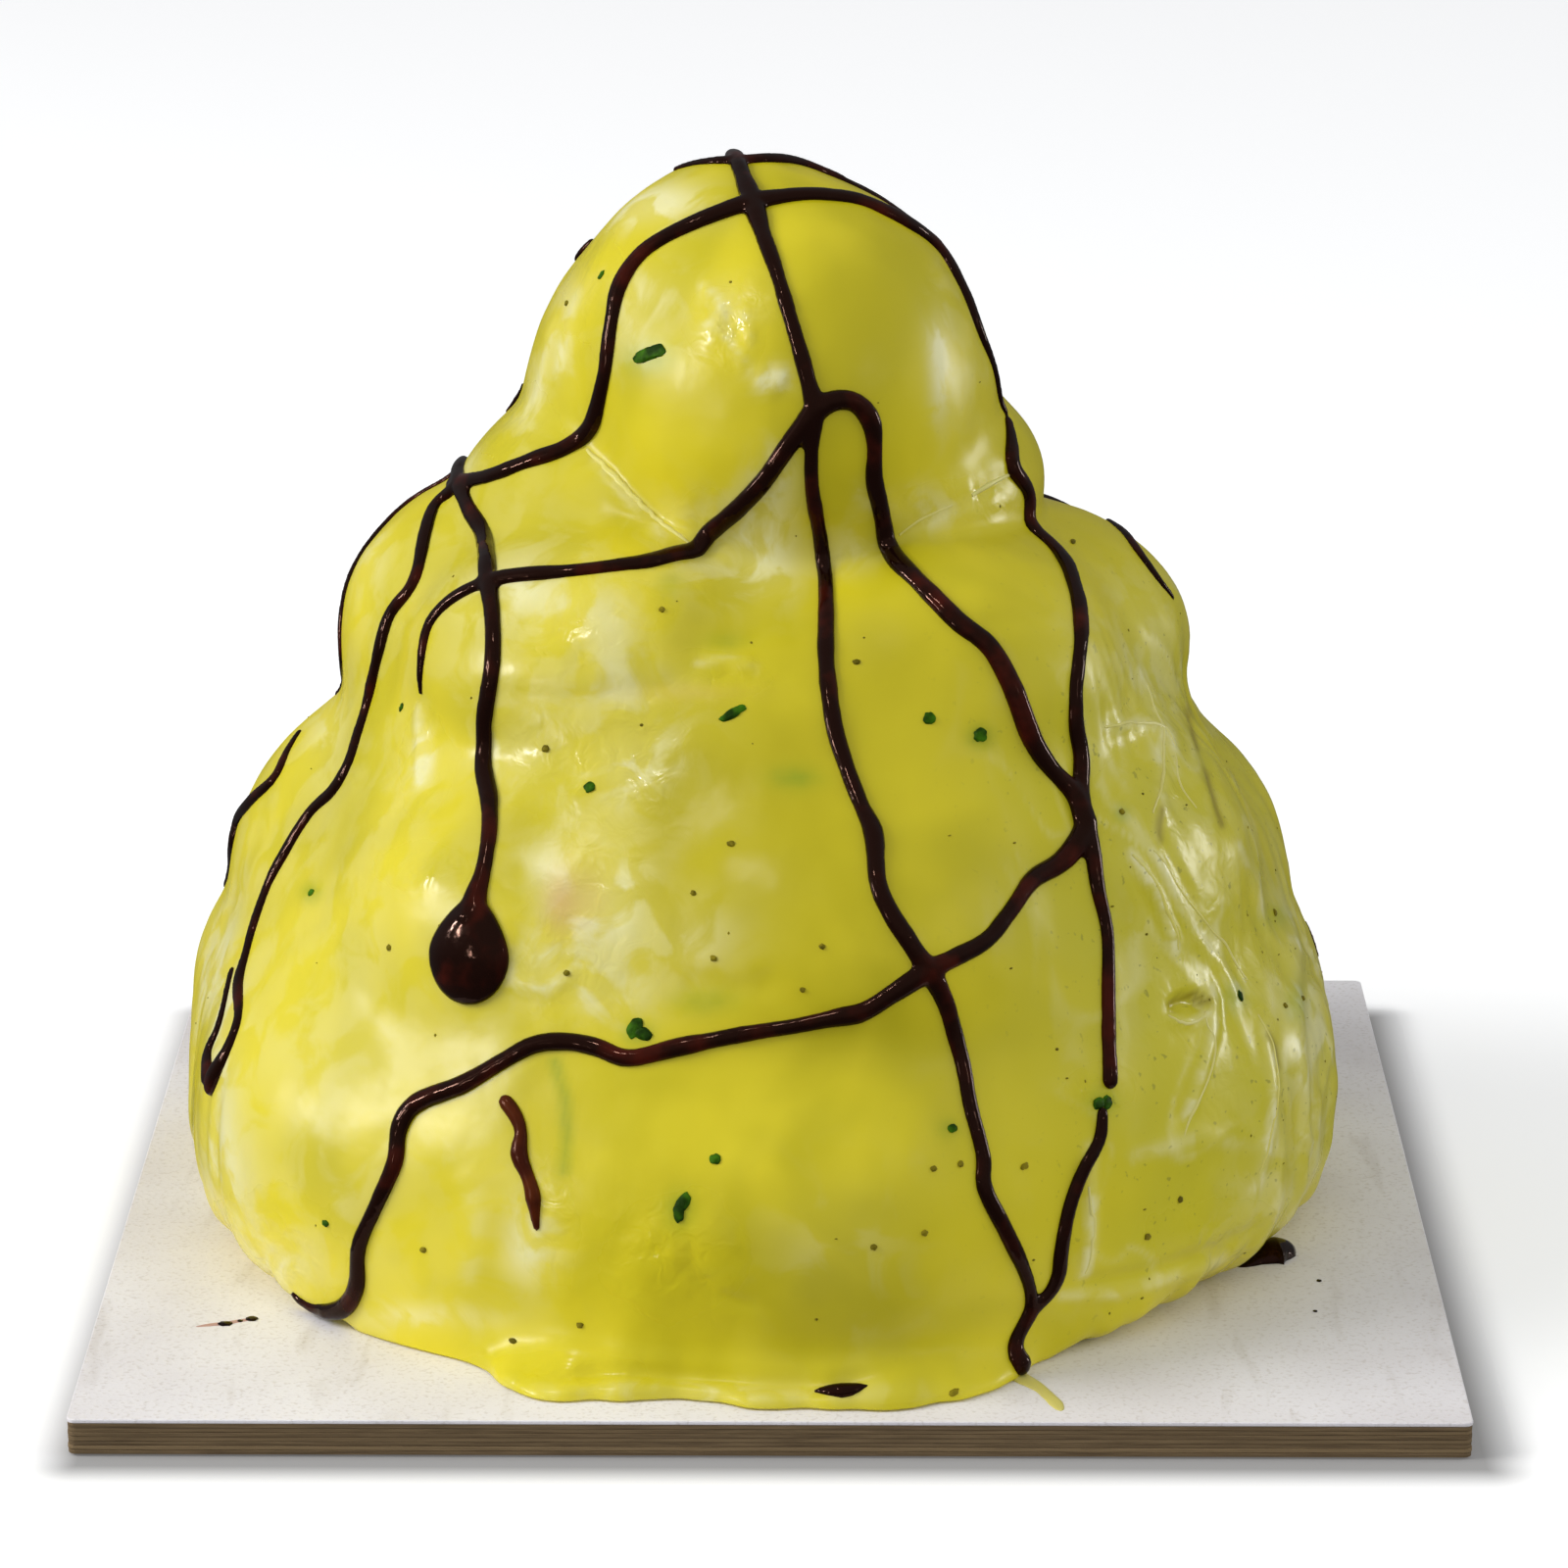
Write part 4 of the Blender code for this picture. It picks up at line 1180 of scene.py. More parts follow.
@dataclass
class ChocolateTrails(Strands):
    """Chocolate piped over the coat: routes of picture points, each with a share of the width."""

    radius: float = 0.00126
    lift: float = 0.10
    flatness: float = 0.78
    voxel: float = 0.00036
    kept_share: float = 0.56
    tail: float = 0.45
    over_crown: tuple = (
        (748, 158, 1.0), (757, 176, 1.0), (768, 205, 1.15), (779, 240, 0.95), (791, 273, 0.85),
        (804, 316, 0.9), (817, 360, 0.85), (825, 390, 0.9), (832, 416, 1.2),
    )
    middle: tuple = (
        (831, 424, 1.1), (828, 460, 0.85), (829, 501, 0.8), (838, 555, 0.85), (843, 616, 0.9),
        (843, 673, 0.95), (850, 734, 1.0), (863, 780, 0.95), (879, 823, 0.95), (891, 851, 1.1),
        (895, 900, 0.95), (907, 932, 1.0), (930, 969, 1.1), (944, 989, 1.3), (956, 1010, 1.1),
        (966, 1035, 0.95), (979, 1081, 0.95), (989, 1131, 0.9), (1003, 1181, 0.9), (1004, 1212, 1.0),
        (1026, 1256, 0.9), (1042, 1290, 0.85), (1050, 1312, 0.75), (1052, 1334, 0.95), (1045, 1350, 0.85),
        (1037, 1366, 0.85), (1036, 1380, 1.05), (1042, 1392, 1.3),
    )
    round_crown: tuple = (
        (462, 494, 0.9), (500, 486, 0.9), (557, 465, 1.05), (590, 449, 1.1), (608, 424, 1.15),
        (618, 380, 0.95), (624, 334, 0.95), (634, 292, 1.1), (657, 258, 1.0), (705, 229, 0.95),
        (766, 206, 1.15), (823, 199, 1.05), (871, 205, 1.1), (919, 226, 1.1), (957, 254, 1.1),
        (979, 289, 0.95), (1000, 340, 0.75), (1014, 385, 0.65), (1024, 420, 0.5),
    )
    far_crown: tuple = (
        (690, 172, 0.5), (737, 165, 0.8), (779, 163, 0.9), (823, 168, 0.85), (855, 178, 0.75),
        (880, 191, 0.4),
    )
    right: tuple = (
        (1028, 430, 0.6), (1032, 455, 0.9), (1034, 478, 1.1), (1049, 508, 1.0), (1077, 562, 1.05),
        (1097, 600, 1.1), (1102, 644, 1.0), (1097, 694, 0.95), (1096, 734, 1.05), (1102, 773, 1.05),
        (1102, 816, 1.1), (1107, 842, 1.3), (1113, 868, 1.0), (1119, 906, 0.9), (1129, 952, 0.85),
        (1130, 1000, 0.95), (1130, 1048, 0.9), (1132, 1103, 0.95),
    )
    fork_left: tuple = (
        (832, 416, 1.2), (820, 434, 1.15), (802, 458, 1.05), (776, 495, 1.0), (737, 533, 1.0),
        (695, 565, 1.15), (653, 575, 0.95), (584, 583, 0.9), (512, 591, 1.1), (483, 600, 0.85),
        (457, 615, 0.85), (439, 637, 0.8), (430, 674, 0.65), (428, 706, 0.4),
    )
    fork_right: tuple = (
        (832, 420, 1.2), (850, 409, 1.15), (871, 410, 1.15), (887, 427, 1.15), (892, 452, 0.95),
        (892, 491, 0.95), (900, 529, 1.0), (917, 575, 1.15), (948, 606, 1.15), (978, 636, 1.2),
        (1009, 660, 1.15), (1031, 698, 1.2), (1049, 748, 1.2), (1070, 784, 1.05), (1096, 812, 1.25),
        (1107, 842, 1.4),
    )
    across: tuple = (
        (1108, 842, 1.3), (1096, 864, 1.25), (1079, 882, 1.15), (1052, 899, 1.05), (1029, 932, 0.95),
        (1004, 960, 1.0), (966, 979, 1.05), (944, 989, 1.3), (913, 1010, 1.05), (880, 1031, 1.1),
        (855, 1037, 1.0), (811, 1047, 0.85), (761, 1055, 0.85), (695, 1068, 0.95), (642, 1080, 0.95),
        (610, 1069, 0.95), (579, 1063, 0.95), (546, 1066, 1.0), (513, 1083, 1.0), (471, 1107, 1.05),
        (425, 1125, 1.1), (407, 1150, 1.05), (403, 1186, 1.0), (385, 1229, 0.9), (367, 1271, 0.95),
        (364, 1312, 1.05), (350, 1335, 1.1), (326, 1337, 1.0), (312, 1330, 0.8), (301, 1321, 0.5),
    )
    left_drop: tuple = (
        (459, 464, 1.0), (470, 495, 1.1), (483, 525, 1.05), (496, 564, 1.05), (499, 594, 1.15),
        (503, 634, 0.95), (503, 677, 1.0), (497, 714, 0.95), (494, 743, 1.1), (493, 780, 1.0),
        (499, 815, 1.05), (500, 849, 1.0), (494, 887, 0.95), (486, 915, 1.3), (482, 938, 2.0),
    )
    far_left: tuple = (
        (466, 497, 1.0), (446, 514, 0.9), (434, 546, 0.85), (423, 594, 0.85), (399, 626, 0.9),
        (388, 663, 0.85), (377, 710, 0.85), (366, 750, 0.85), (357, 780, 0.9), (342, 806, 0.9),
        (319, 829, 0.85), (293, 869, 0.85), (276, 901, 0.8), (262, 938, 0.85), (252, 973, 0.75),
        (244, 1004, 0.9), (243, 1040, 0.7), (233, 1070, 0.8), (221, 1096, 1.3), (217, 1108, 1.2),
    )
    far_left_twin: tuple = (
        (236, 990, 0.5), (230, 1020, 0.55), (222, 1050, 0.6), (213, 1074, 0.9), (214, 1100, 1.2),
    )
    lower_right: tuple = (
        (1124, 1136, 0.7), (1122, 1160, 0.75), (1112, 1180, 0.8), (1100, 1206, 0.9), (1089, 1240, 0.85),
        (1083, 1276, 0.9), (1080, 1302, 0.95), (1070, 1320, 0.85), (1054, 1334, 0.95),
    )
    edges: tuple = (
        (
            (454, 468, 0.5), (414, 508, 0.55), (380, 548, 0.55), (358, 590, 0.6), (349, 634, 0.6),
            (347, 677, 0.5), (335, 700, 0.35),
        ),
        (
            (306, 748, 0.45), (294, 767, 0.6), (281, 795, 0.75), (256, 820, 0.9), (240, 838, 0.95),
            (236, 860, 0.85), (226, 900, 0.5),
        ),
        ((600, 243, 0.5), (592, 252, 0.7), (587, 262, 0.5)),
        ((526, 390, 0.3), (518, 402, 0.55), (513, 415, 0.3)),
        ((1131, 532, 0.5), (1160, 562, 0.7), (1180, 590, 0.6), (1196, 610, 0.4)),
        ((1335, 940, 0.3), (1340, 960, 0.4), (1344, 976, 0.3)),
    )
    dash: tuple = (
        (516, 1124, 0.8), (526, 1138, 0.8), (532, 1156, 0.65), (530, 1178, 1.05), (539, 1200, 0.75),
        (545, 1222, 0.95), (548, 1252, 0.45),
    )
    behind: tuple = (
        ((-150, 144), (170, 143), (120, 142), (100, 136), (104, 124), (114, 108)),
        ((-150, 144), (-124, 128), (-116, 112), (-118, 98), (-124, 84), (-118, 66), (-128, 48), (-124, 26)),
        ((172, 143), (178, 128), (172, 108), (184, 92), (178, 70), (188, 50), (180, 30), (186, 4)),
        ((114, 108), (115, 96), (115, 84), (119, 70), (126, 52), (120, 34), (130, 14)),
        ((118, 90), (134, 84), (156, 90), (178, 84), (202, 90), (226, 82), (244, 88)),
        ((104, 40), (126, 30), (150, 36), (178, 28), (206, 36), (232, 28), (254, 36)),
    )
    base_mark: tuple = (
        (832, 1416, 0.3), (846, 1418, 0.8), (860, 1420, 1.0), (873, 1418, 0.7), (884, 1415, 0.3),
    )
    drop_place: Pixel = (478, 974)
    drop_half: Place = (0.0060, 0.0026, 0.0070)

    def seen_routes(self) -> list[tuple]:
        """The dark trails placed by points of the picture."""
        crown = (self.over_crown, self.middle, self.round_crown, self.far_crown)
        right = (self.right, self.fork_left, self.fork_right, self.across)
        left = (self.left_drop, self.far_left, self.far_left_twin)
        return [*crown, *right, *left, self.lower_right, self.base_mark, *self.edges]

    def beads(self, ends: Iterable[tuple[np.ndarray, float]]) -> bmesh.types.BMesh:
        """Round beads that close and swell the trails' ends."""
        shape = bmesh.new()
        for place, radius in ends:
            grown = bmesh.ops.create_icosphere(shape, subdivisions=2, radius=radius)
            bmesh.ops.translate(shape, vec=Vector(place), verts=grown["verts"])
        return shape

    def flatten(self, piece: bpy.types.Object) -> None:
        """Presses a trail's height above the coat down to its share, and rests it on the board."""
        count = len(piece.data.vertices)
        flat = np.zeros(count * 3)
        piece.data.vertices.foreach_get("co", flat)
        points = flat.reshape(-1, 3)
        gap = np.clip(FORM.distance(points), 0, None)
        points = points - FORM.outward(points) * (gap * (1 - self.flatness))[:, None]
        points[:, 2] = np.maximum(points[:, 2], FORM.thickness + 0.00002)
        piece.data.vertices.foreach_set("co", points.ravel())
        piece.data.update()

    def drop(self) -> bmesh.types.BMesh:
        """The big drop that hangs at the left trail's end: round below, drawn to a point above."""
        place = FORM.seen([self.drop_place])[0]
        normal = Vector(FORM.outward(np.array([place]))[0])
        turn = normal.to_track_quat("Y", "Z").to_matrix().to_4x4()
        shape = bmesh.new()
        bmesh.ops.create_uvsphere(shape, u_segments=40, v_segments=28, radius=1)
        for vertex in shape.verts:
            rise = vertex.co.z
            slim = 1 - 0.42 * max(rise, 0) ** 1.4
            vertex.co.x *= self.drop_half[0] * slim
            vertex.co.y *= self.drop_half[1] * (1 + 0.15 * min(rise, 0))
            vertex.co.z = rise * self.drop_half[2] * (1.12 if rise > 0 else 0.95)
        bmesh.ops.transform(shape, matrix=Matrix.Translation(place) @ turn, verts=shape.verts[:])
        return shape

    def melted(
        self,
        name: str,
        strands: Sequence[tuple[np.ndarray, np.ndarray]],
        seed: int,
        finish: bpy.types.Material,
        extra: Sequence[bmesh.types.BMesh] = (),
    ) -> bpy.types.Object:
        """Strands melted into one skin with beads at their ends, and pressed onto the coat.

        Args:
            name: The piece's name.
            strands: Each strand's centreline and radii.
            seed: Seeds their uneven width.
            finish: Their chocolate.
            extra: Further forms to melt in, which are freed.

        Returns:
            The piece.
        """
        ends = [(line[k], radii[k]) for line, radii in strands for k in (0, -1)]
        piece = self.sweep(finish).run(self.as_curve(strands), name, Seed=float(seed))
        whole = bmesh.new()
        whole.from_mesh(piece.data)
        for shape in (self.beads(ends), *extra):
            loose = bpy.data.meshes.new("loose")
            shape.to_mesh(loose)
            shape.free()
            whole.from_mesh(loose)
            bpy.data.meshes.remove(loose)
        bmesh.ops.remove_doubles(whole, verts=whole.verts[:], dist=1e-6)
        whole.to_mesh(piece.data)
        whole.free()
        melt = piece.modifiers.new("melt", "REMESH")
        melt.mode = "VOXEL"
        melt.voxel_size = self.voxel
        melt.use_smooth_shade = True
        soften = piece.modifiers.new("soften", "SMOOTH")
        soften.factor = 0.5
        soften.iterations = 4
        thin = piece.modifiers.new("thin", "DECIMATE")
        thin.ratio = self.kept_share
        settle(piece)
        piece.data.materials.clear()
        piece.data.materials.append(finish)
        self.flatten(piece)
        return piece

    def build(self, dark: bpy.types.Material, brown: bpy.types.Material) -> list[bpy.types.Object]:
        """Builds the trails.

        Args:
            dark: The chocolate of the trails.
            brown: The thinner chocolate of the short dash.

        Returns:
            The trails as one piece, and the dash.
        """
        strands = [self.seen(route) for route in self.seen_routes()]
        for places in self.behind:
            widths = np.ones(len(places))
            widths[-1] = self.tail
            strands.append(self.laid(FORM.ringed(places), widths))
        trails = self.melted("chocolate_trails", strands, self.seed, dark, (self.drop(),))
        dash = self.melted("chocolate_dash", [self.seen(self.dash)], self.seed + 1, brown)
        return [trails, dash]


@dataclass
class HerbFlecks:
    """Chopped herb in the coat: larger flakes placed one by one, and fine specks strewn over it.

    A flake is its point in the picture, its length and width in millimetres and its turn in degrees.
    """

    under: BVHTree
    seed: int = 11
    speck_radius: float = 0.00028
    density: float = 9000.0
    ragged: float = 0.35
    flake_depth: float = 0.5
    flake_lift: float = 0.00006
    green_flakes: tuple = (
        (661, 362, 4.6, 1.7, 22), (670, 358, 2.8, 1.9, 16), (746, 729, 3.2, 1.4, 34),
        (753, 725, 2.2, 1.2, 34), (948, 733, 1.6, 1.5, 0), (1000, 750, 2.0, 1.8, 40),
        (602, 804, 1.6, 1.4, 0), (648, 1049, 2.8, 2.0, 70), (656, 1055, 2.6, 1.7, -20),
        (730, 1183, 1.5, 1.3, 0), (697, 1227, 2.8, 1.7, 60), (693, 1238, 2.4, 1.5, 100),
        (1121, 1126, 2.3, 1.5, 10), (1129, 1125, 1.8, 1.4, 60), (970, 1152, 1.4, 1.2, 0),
        (410, 722, 1.3, 0.8, 60), (318, 911, 1.5, 0.9, 40), (614, 281, 1.4, 0.8, 70),
        (333, 1248, 1.1, 0.9, 0), (1262, 1017, 1.5, 1.1, 80),
    )
    brown_flakes: tuple = (
        (979, 1188, 0.9, 0.8, 0), (950, 1193, 0.9, 0.8, 0), (746, 861, 1.1, 0.9, 0),
        (728, 978, 0.9, 0.8, 0), (557, 764, 1.0, 0.9, 0), (675, 623, 0.9, 0.8, 0),
        (397, 967, 0.8, 0.8, 0), (579, 993, 0.9, 0.8, 0), (874, 676, 1.0, 0.8, 0),
        (1095, 553, 1.6, 0.7, 10), (580, 310, 1.0, 0.8, 0), (1310, 1027, 0.9, 0.8, 0),
        (1326, 1020, 0.9, 0.8, 0), (1298, 932, 1.1, 0.8, 30), (1144, 829, 0.9, 0.9, 0),
        (433, 1275, 0.9, 0.8, 0), (523, 1368, 1.2, 0.7, 0), (592, 1352, 0.9, 0.8, 0),
        (891, 1271, 0.9, 0.8, 0), (941, 1257, 0.9, 0.8, 0), (1046, 1190, 1.3, 0.8, 20),
        (1204, 1224, 0.9, 0.8, 0), (1170, 1262, 1.1, 0.9, 0), (839, 966, 0.8, 0.7, 0),
        (819, 1010, 0.7, 0.7, 0), (707, 911, 0.8, 0.7, 0), (973, 1421, 1.4, 0.9, 20),
    )

    def flake(
        self, shape: bmesh.types.BMesh, number: int, place: Vector, normal: Vector, sizes: Sequence[float]
    ) -> None:
        """Adds one flat, ragged flake lying in the coat.

        Args:
            shape: The mesh it is added to.
            number: Its number, which seeds its ragged edge.
            place: Its middle.
            normal: The coat's direction there.
            sizes: Its length and width in millimetres, and its turn in degrees.
        """
        length, width, turn = sizes
        upright = normal.to_track_quat("Z", "Y").to_matrix()
        lay = upright @ Matrix.Rotation(math.radians(turn), 3, "Z")
        grown = bmesh.ops.create_icosphere(shape, subdivisions=3, radius=0.5)
        for vertex in grown["verts"]:
            ragged = 1 + self.ragged * noise.noise(vertex.co * 3 + Vector((number * 7.1, 0, 0)))
            x, y, z = vertex.co
            flat = Vector((x * length, y * width, z * self.flake_depth)) * (ragged / 1000)
            vertex.co = place + lay @ (flat + Vector((0, 0, self.flake_lift)))

    def build_flakes(
        self, name: str, flakes: Sequence[tuple], finish: bpy.types.Material
    ) -> bpy.types.Object:
        """Flakes of one colour as one piece."""
        shape = bmesh.new()
        for number, (place, flake) in enumerate(zip(FORM.seen(flakes), flakes)):
            hit, normal, _, _ = self.under.find_nearest(Vector(place))
            self.flake(shape, number, hit, normal, flake[2:])
        return plain_mesh(name, shape, finish)

    def build_specks(self, coat: bpy.types.Object, finish: bpy.types.Material) -> bpy.types.Object:
        """Fine specks strewn over the coat, most on its dragged flank.

        Args:
            coat: The coat they lie in.
            finish: The herb's material.

        Returns:
            The specks as one piece.
        """
        group = NodeGroup("strewn_specks")
        radius = group.number("Radius", self.speck_radius)
        density = group.number("Density", self.density)
        seed = group.number("Seed", self.seed, whole=True)
        olive_and_shade = group.value("GeometryNodeInputNamedAttribute", {"data_type": "FLOAT"}, {"Name": "olive_and_shade"})
        amount = olive_and_shade.math("MULTIPLY_ADD", 0.9, 0.10) * density
        strewn = group.node(
            "GeometryNodeDistributePointsOnFaces",
            {"distribute_method": "RANDOM"},
            {"Mesh": group.geometry, "Density": amount, "Seed": seed},
        )
        grain = group.node("GeometryNodeMeshIcoSphere", {}, {"Radius": radius, "Subdivisions": 1})
        sizes = group.node(
            "FunctionNodeRandomValue",
            {"data_type": "FLOAT_VECTOR"},
            {"Min": (0.35, 0.35, 0.25), "Max": (1.3, 0.9, 0.45), "Seed": seed},
        )
        laid = group.node(
            "GeometryNodeInstanceOnPoints",
            {},
            {
                "Points": strewn.outputs["Points"],
                "Instance": grain.outputs[0],
                "Rotation": strewn.outputs["Rotation"],
                "Scale": sizes.outputs[0],
            },
        )
        group.finish(laid.outputs[0], finish)
        carrier = place_piece("carrier", coat.data.copy())
        return group.run(carrier, "herb_specks", Seed=self.seed)


@dataclass
class ServingBoard:
    """Square board: a core of thin plies under a white facing."""

    side: float = BOARD_SIDE
    thickness: float = BOARD_THICKNESS
    facing: float = 0.00055
    plies: int = 7
    corner: float = 0.0011
    bevel: float = 0.00018

    def slab(self, side: float, low: float, high: float, corner: float, bevel: float) -> bmesh.types.BMesh:
        """A flat square slab with rounded corners and softened edges.

        Args:
            side: Its side.
            low: Height of its underside.
            high: Height of its top.
            corner: Radius of its upright corners.
            bevel: Width of its softened rims.

        Returns:
            The slab.
        """
        shape = bmesh.new()
        bmesh.ops.create_cube(shape, size=1)
        bmesh.ops.scale(shape, vec=(side, side, high - low), verts=shape.verts[:])
        bmesh.ops.translate(shape, vec=(0, 0, (low + high) / 2), verts=shape.verts[:])
        upright = [e for e in shape.edges if abs(e.verts[0].co.z - e.verts[1].co.z) > 1e-5]
        bmesh.ops.bevel(shape, geom=upright, offset=corner, segments=6, affect="EDGES", profile=0.5)
        rims = [e for e in shape.edges if abs(e.verts[0].co.z - e.verts[1].co.z) < 1e-6]
        outer = [e for e in rims if any(abs(f.normal.z) < 0.5 for f in e.link_faces)]
        bmesh.ops.bevel(shape, geom=outer, offset=bevel, segments=2, affect="EDGES", profile=0.5)
        sort_by_place(shape)
        return shape

    def build_facing(self, finish: bpy.types.Material) -> bpy.types.Object:
        """The white facing on top."""
        low = self.thickness - self.facing
        shape = self.slab(self.side, low, self.thickness, self.corner, self.bevel * 0.8)
        return plain_mesh("white_board_facing", shape, finish, smooth=False)

    def build_plies(self, finish: bpy.types.Material) -> bpy.types.Object:
        """The plies below it: one thin slab laid again and again, each of its own tone."""
        depth = (self.thickness - self.facing) / self.plies
        group = NodeGroup("layered_core")
        count = group.number("Plies", self.plies, whole=True)
        pitch = group.number("Pitch", depth)
        seed = group.number("Seed", 5, whole=True)
        rise = group.node("ShaderNodeCombineXYZ", {}, {"Z": pitch})
        sockets = {"Count": count, "Offset": rise.outputs[0]}
        line = group.node("GeometryNodeMeshLine", {"mode": "OFFSET"}, sockets)
        spread = group.node(
            "FunctionNodeRandomValue",
            {"data_type": "FLOAT_VECTOR"},
            {"Min": (0.9990, 0.9990, 1.0), "Max": (1.0, 1.0, 1.0), "Seed": seed},
        )
        laid = group.node(
            "GeometryNodeInstanceOnPoints",
            {},
            {"Points": line.outputs[0], "Instance": group.geometry, "Scale": spread.outputs[0]},
        )
        tone = group.node(
            "FunctionNodeRandomValue",
            {"data_type": "FLOAT"},
            {"Min_001": 0.0, "Max_001": 1.0, "Seed": seed},
        )
        toned = group.node(
            "GeometryNodeStoreNamedAttribute",
            {"data_type": "FLOAT", "domain": "INSTANCE"},
            {"Geometry": laid.outputs[0], "Name": "ply_tone", "Value": tone.outputs[1]},
        )
        group.finish(toned.outputs[0], finish)
        one = self.slab(self.side - 0.0001, 0.0, depth - 0.00002, self.corner, self.bevel * 0.5)
        carrier = plain_mesh("ply", one, finish, smooth=False)
        made = group.run(carrier, "board_plies", Seed=5)
        made.data.polygons.foreach_set("use_smooth", [False] * len(made.data.polygons))
        return made


@dataclass
class BoardSpills:
    """What has run onto the board: chocolate spots, a smear, and a dribble of glaze.

    A spot is its point in the picture, its sizes and height in millimetres and its turn in degrees. A
    film is a route of picture points, each with its half width in millimetres.
    """

    spot_breadth: float = 1.6
    spot_underside: float = 0.01
    spot_ragged: float = 0.22
    film_step: float = 0.0003
    film_sides: int = 14
    film_end: float = 0.02
    spots: tuple = (
        ((230, 1351), 1.0, 0.5, 0.25, 0), ((257, 1346), 0.8, 0.5, 0.25, 10),
        ((245, 1348), 0.4, 0.3, 0.15, 0), ((1346, 1307), 0.35, 0.3, 0.12, 0),
        ((1342, 1338), 0.3, 0.25, 0.12, 0),
    )
    side_drop: tuple = (
        (1262, 1293, 0.4), (1273, 1291, 0.8), (1281, 1287, 1.9), (1291, 1283, 3.2), (1302, 1281, 3.7),
        (1313, 1281, 3.2), (1322, 1282, 2.0),
    )
    smear: tuple = (
        (199, 1354, 0.3), (214, 1352, 0.5), (232, 1350, 0.6), (250, 1347, 0.5), (264, 1345, 0.3),
    )
    dribble: tuple = (
        (1016, 1398, 2.0), (1034, 1403, 1.7), (1052, 1412, 1.2), (1066, 1421, 0.9), (1077, 1432, 1.0),
        (1083, 1440, 0.8),
    )

    def board_points(self, pixels: Iterable[Pixel]) -> np.ndarray:
        """Points of the board's top at points of the picture."""
        rays = EYE.rays(pixels)
        down = (FORM.thickness - EYE.eye[2]) / rays[:, 2]
        return np.array(EYE.eye) + rays * down[:, None]

    def build_spots(self, finish: bpy.types.Material) -> bpy.types.Object:
        """The chocolate spots, each a low uneven lens, as one piece."""
        shape = bmesh.new()
        places = self.board_points([spot[0] for spot in self.spots])
        for number, (place, spot) in enumerate(zip(places, self.spots)):
            _, length, width, rise, turn = spot
            grown = bmesh.ops.create_icosphere(shape, subdivisions=4, radius=1)
            spin = Matrix.Rotation(math.radians(turn), 3, "Z")
            for vertex in grown["verts"]:
                ragged = noise.noise(vertex.co * 1.8 + Vector((0, number * 5.3, 0)))
                ragged = 1 + self.spot_ragged * ragged
                x, y, z = vertex.co
                height = z * (rise if z > 0 else self.spot_underside)
                low = Vector((x * length, y * width * self.spot_breadth, height)) * (ragged / 1000)
                vertex.co = Vector(place) + spin @ low + Vector((0, 0, 0.00002))
        return plain_mesh("chocolate_spots", shape, finish)

    def film(
        self, name: str, route: Sequence[tuple], rise: float, finish: bpy.types.Material
    ) -> bpy.types.Object:
        """A low ribbon that has run over the board.

        Args:
            name: The piece's name.
            route: Picture points with half widths in millimetres.
            rise: Its height as a share of its half width.
            finish: Its material.

        Returns:
            The ribbon.
        """
        widths = np.array([p[2] for p in route])
        line, halves = smooth_route(self.board_points(route), widths, self.film_step)
        shape = bmesh.new()
        steps, rows = self.film_sides, []
        for k, (place, half) in enumerate(zip(line, halves)):
            ahead = line[min(k + 1, len(line) - 1)] - line[max(k - 1, 0)]
            aside = np.array((-ahead[1], ahead[0], 0.0)) / max(float(np.hypot(ahead[0], ahead[1])), 1e-9)
            end = math.sqrt(max(0.0, 1 - abs(2 * k / (len(line) - 1) - 1) ** 6))
            row = []
            for j in range(steps + 1):
                angle = math.pi * j / steps
                uneven = 1 + 0.15 * noise.noise(Vector(place) * 500 + Vector((0, 0, j * 0.2)))
                reach = half / 1000 * max(end, self.film_end) * uneven
                point = place + aside * (math.cos(angle) * reach)
                height = math.sin(angle) * rise * half / 1000 * max(end, self.film_end)
                point[2] = FORM.thickness + 0.00001 + height
                row.append(shape.verts.new(point))
            rows.append(row)
        for first, second in zip(rows, rows[1:]):
            for j in range(steps):
                shape.faces.new((first[j], first[j + 1], second[j + 1], second[j]))
            shape.faces.new((first[steps], first[0], second[0], second[steps]))
        shape.faces.new(rows[0])
        shape.faces.new(rows[-1][::-1])
        return plain_mesh(name, shape, finish)


@dataclass(frozen=True)
class Lamp:
    """A panel of light: a soft one lights the forms, and a glint is seen only as a highlight."""

    name: str
    place: Place
    size: tuple[float, float]
    power: float
    colour: Colour = (1.0, 1.0, 1.0)
    glint: bool = False

    def build(self, aim: Vector) -> None:
        """Hangs the lamp, turned to a point."""
        data = bpy.data.lights.new(self.name, "AREA")
        data.shape = "RECTANGLE"
        data.size, data.size_y = self.size
        data.energy = self.power
        data.color = self.colour
        lamp = bpy.data.objects.new(self.name, data)
        lamp.location = self.place
        lamp.rotation_euler = (aim - Vector(self.place)).to_track_quat("-Z", "Y").to_euler()
        lamp.visible_diffuse = not self.glint
        lamp.visible_glossy = self.glint
        bpy.context.scene.collection.objects.link(lamp)


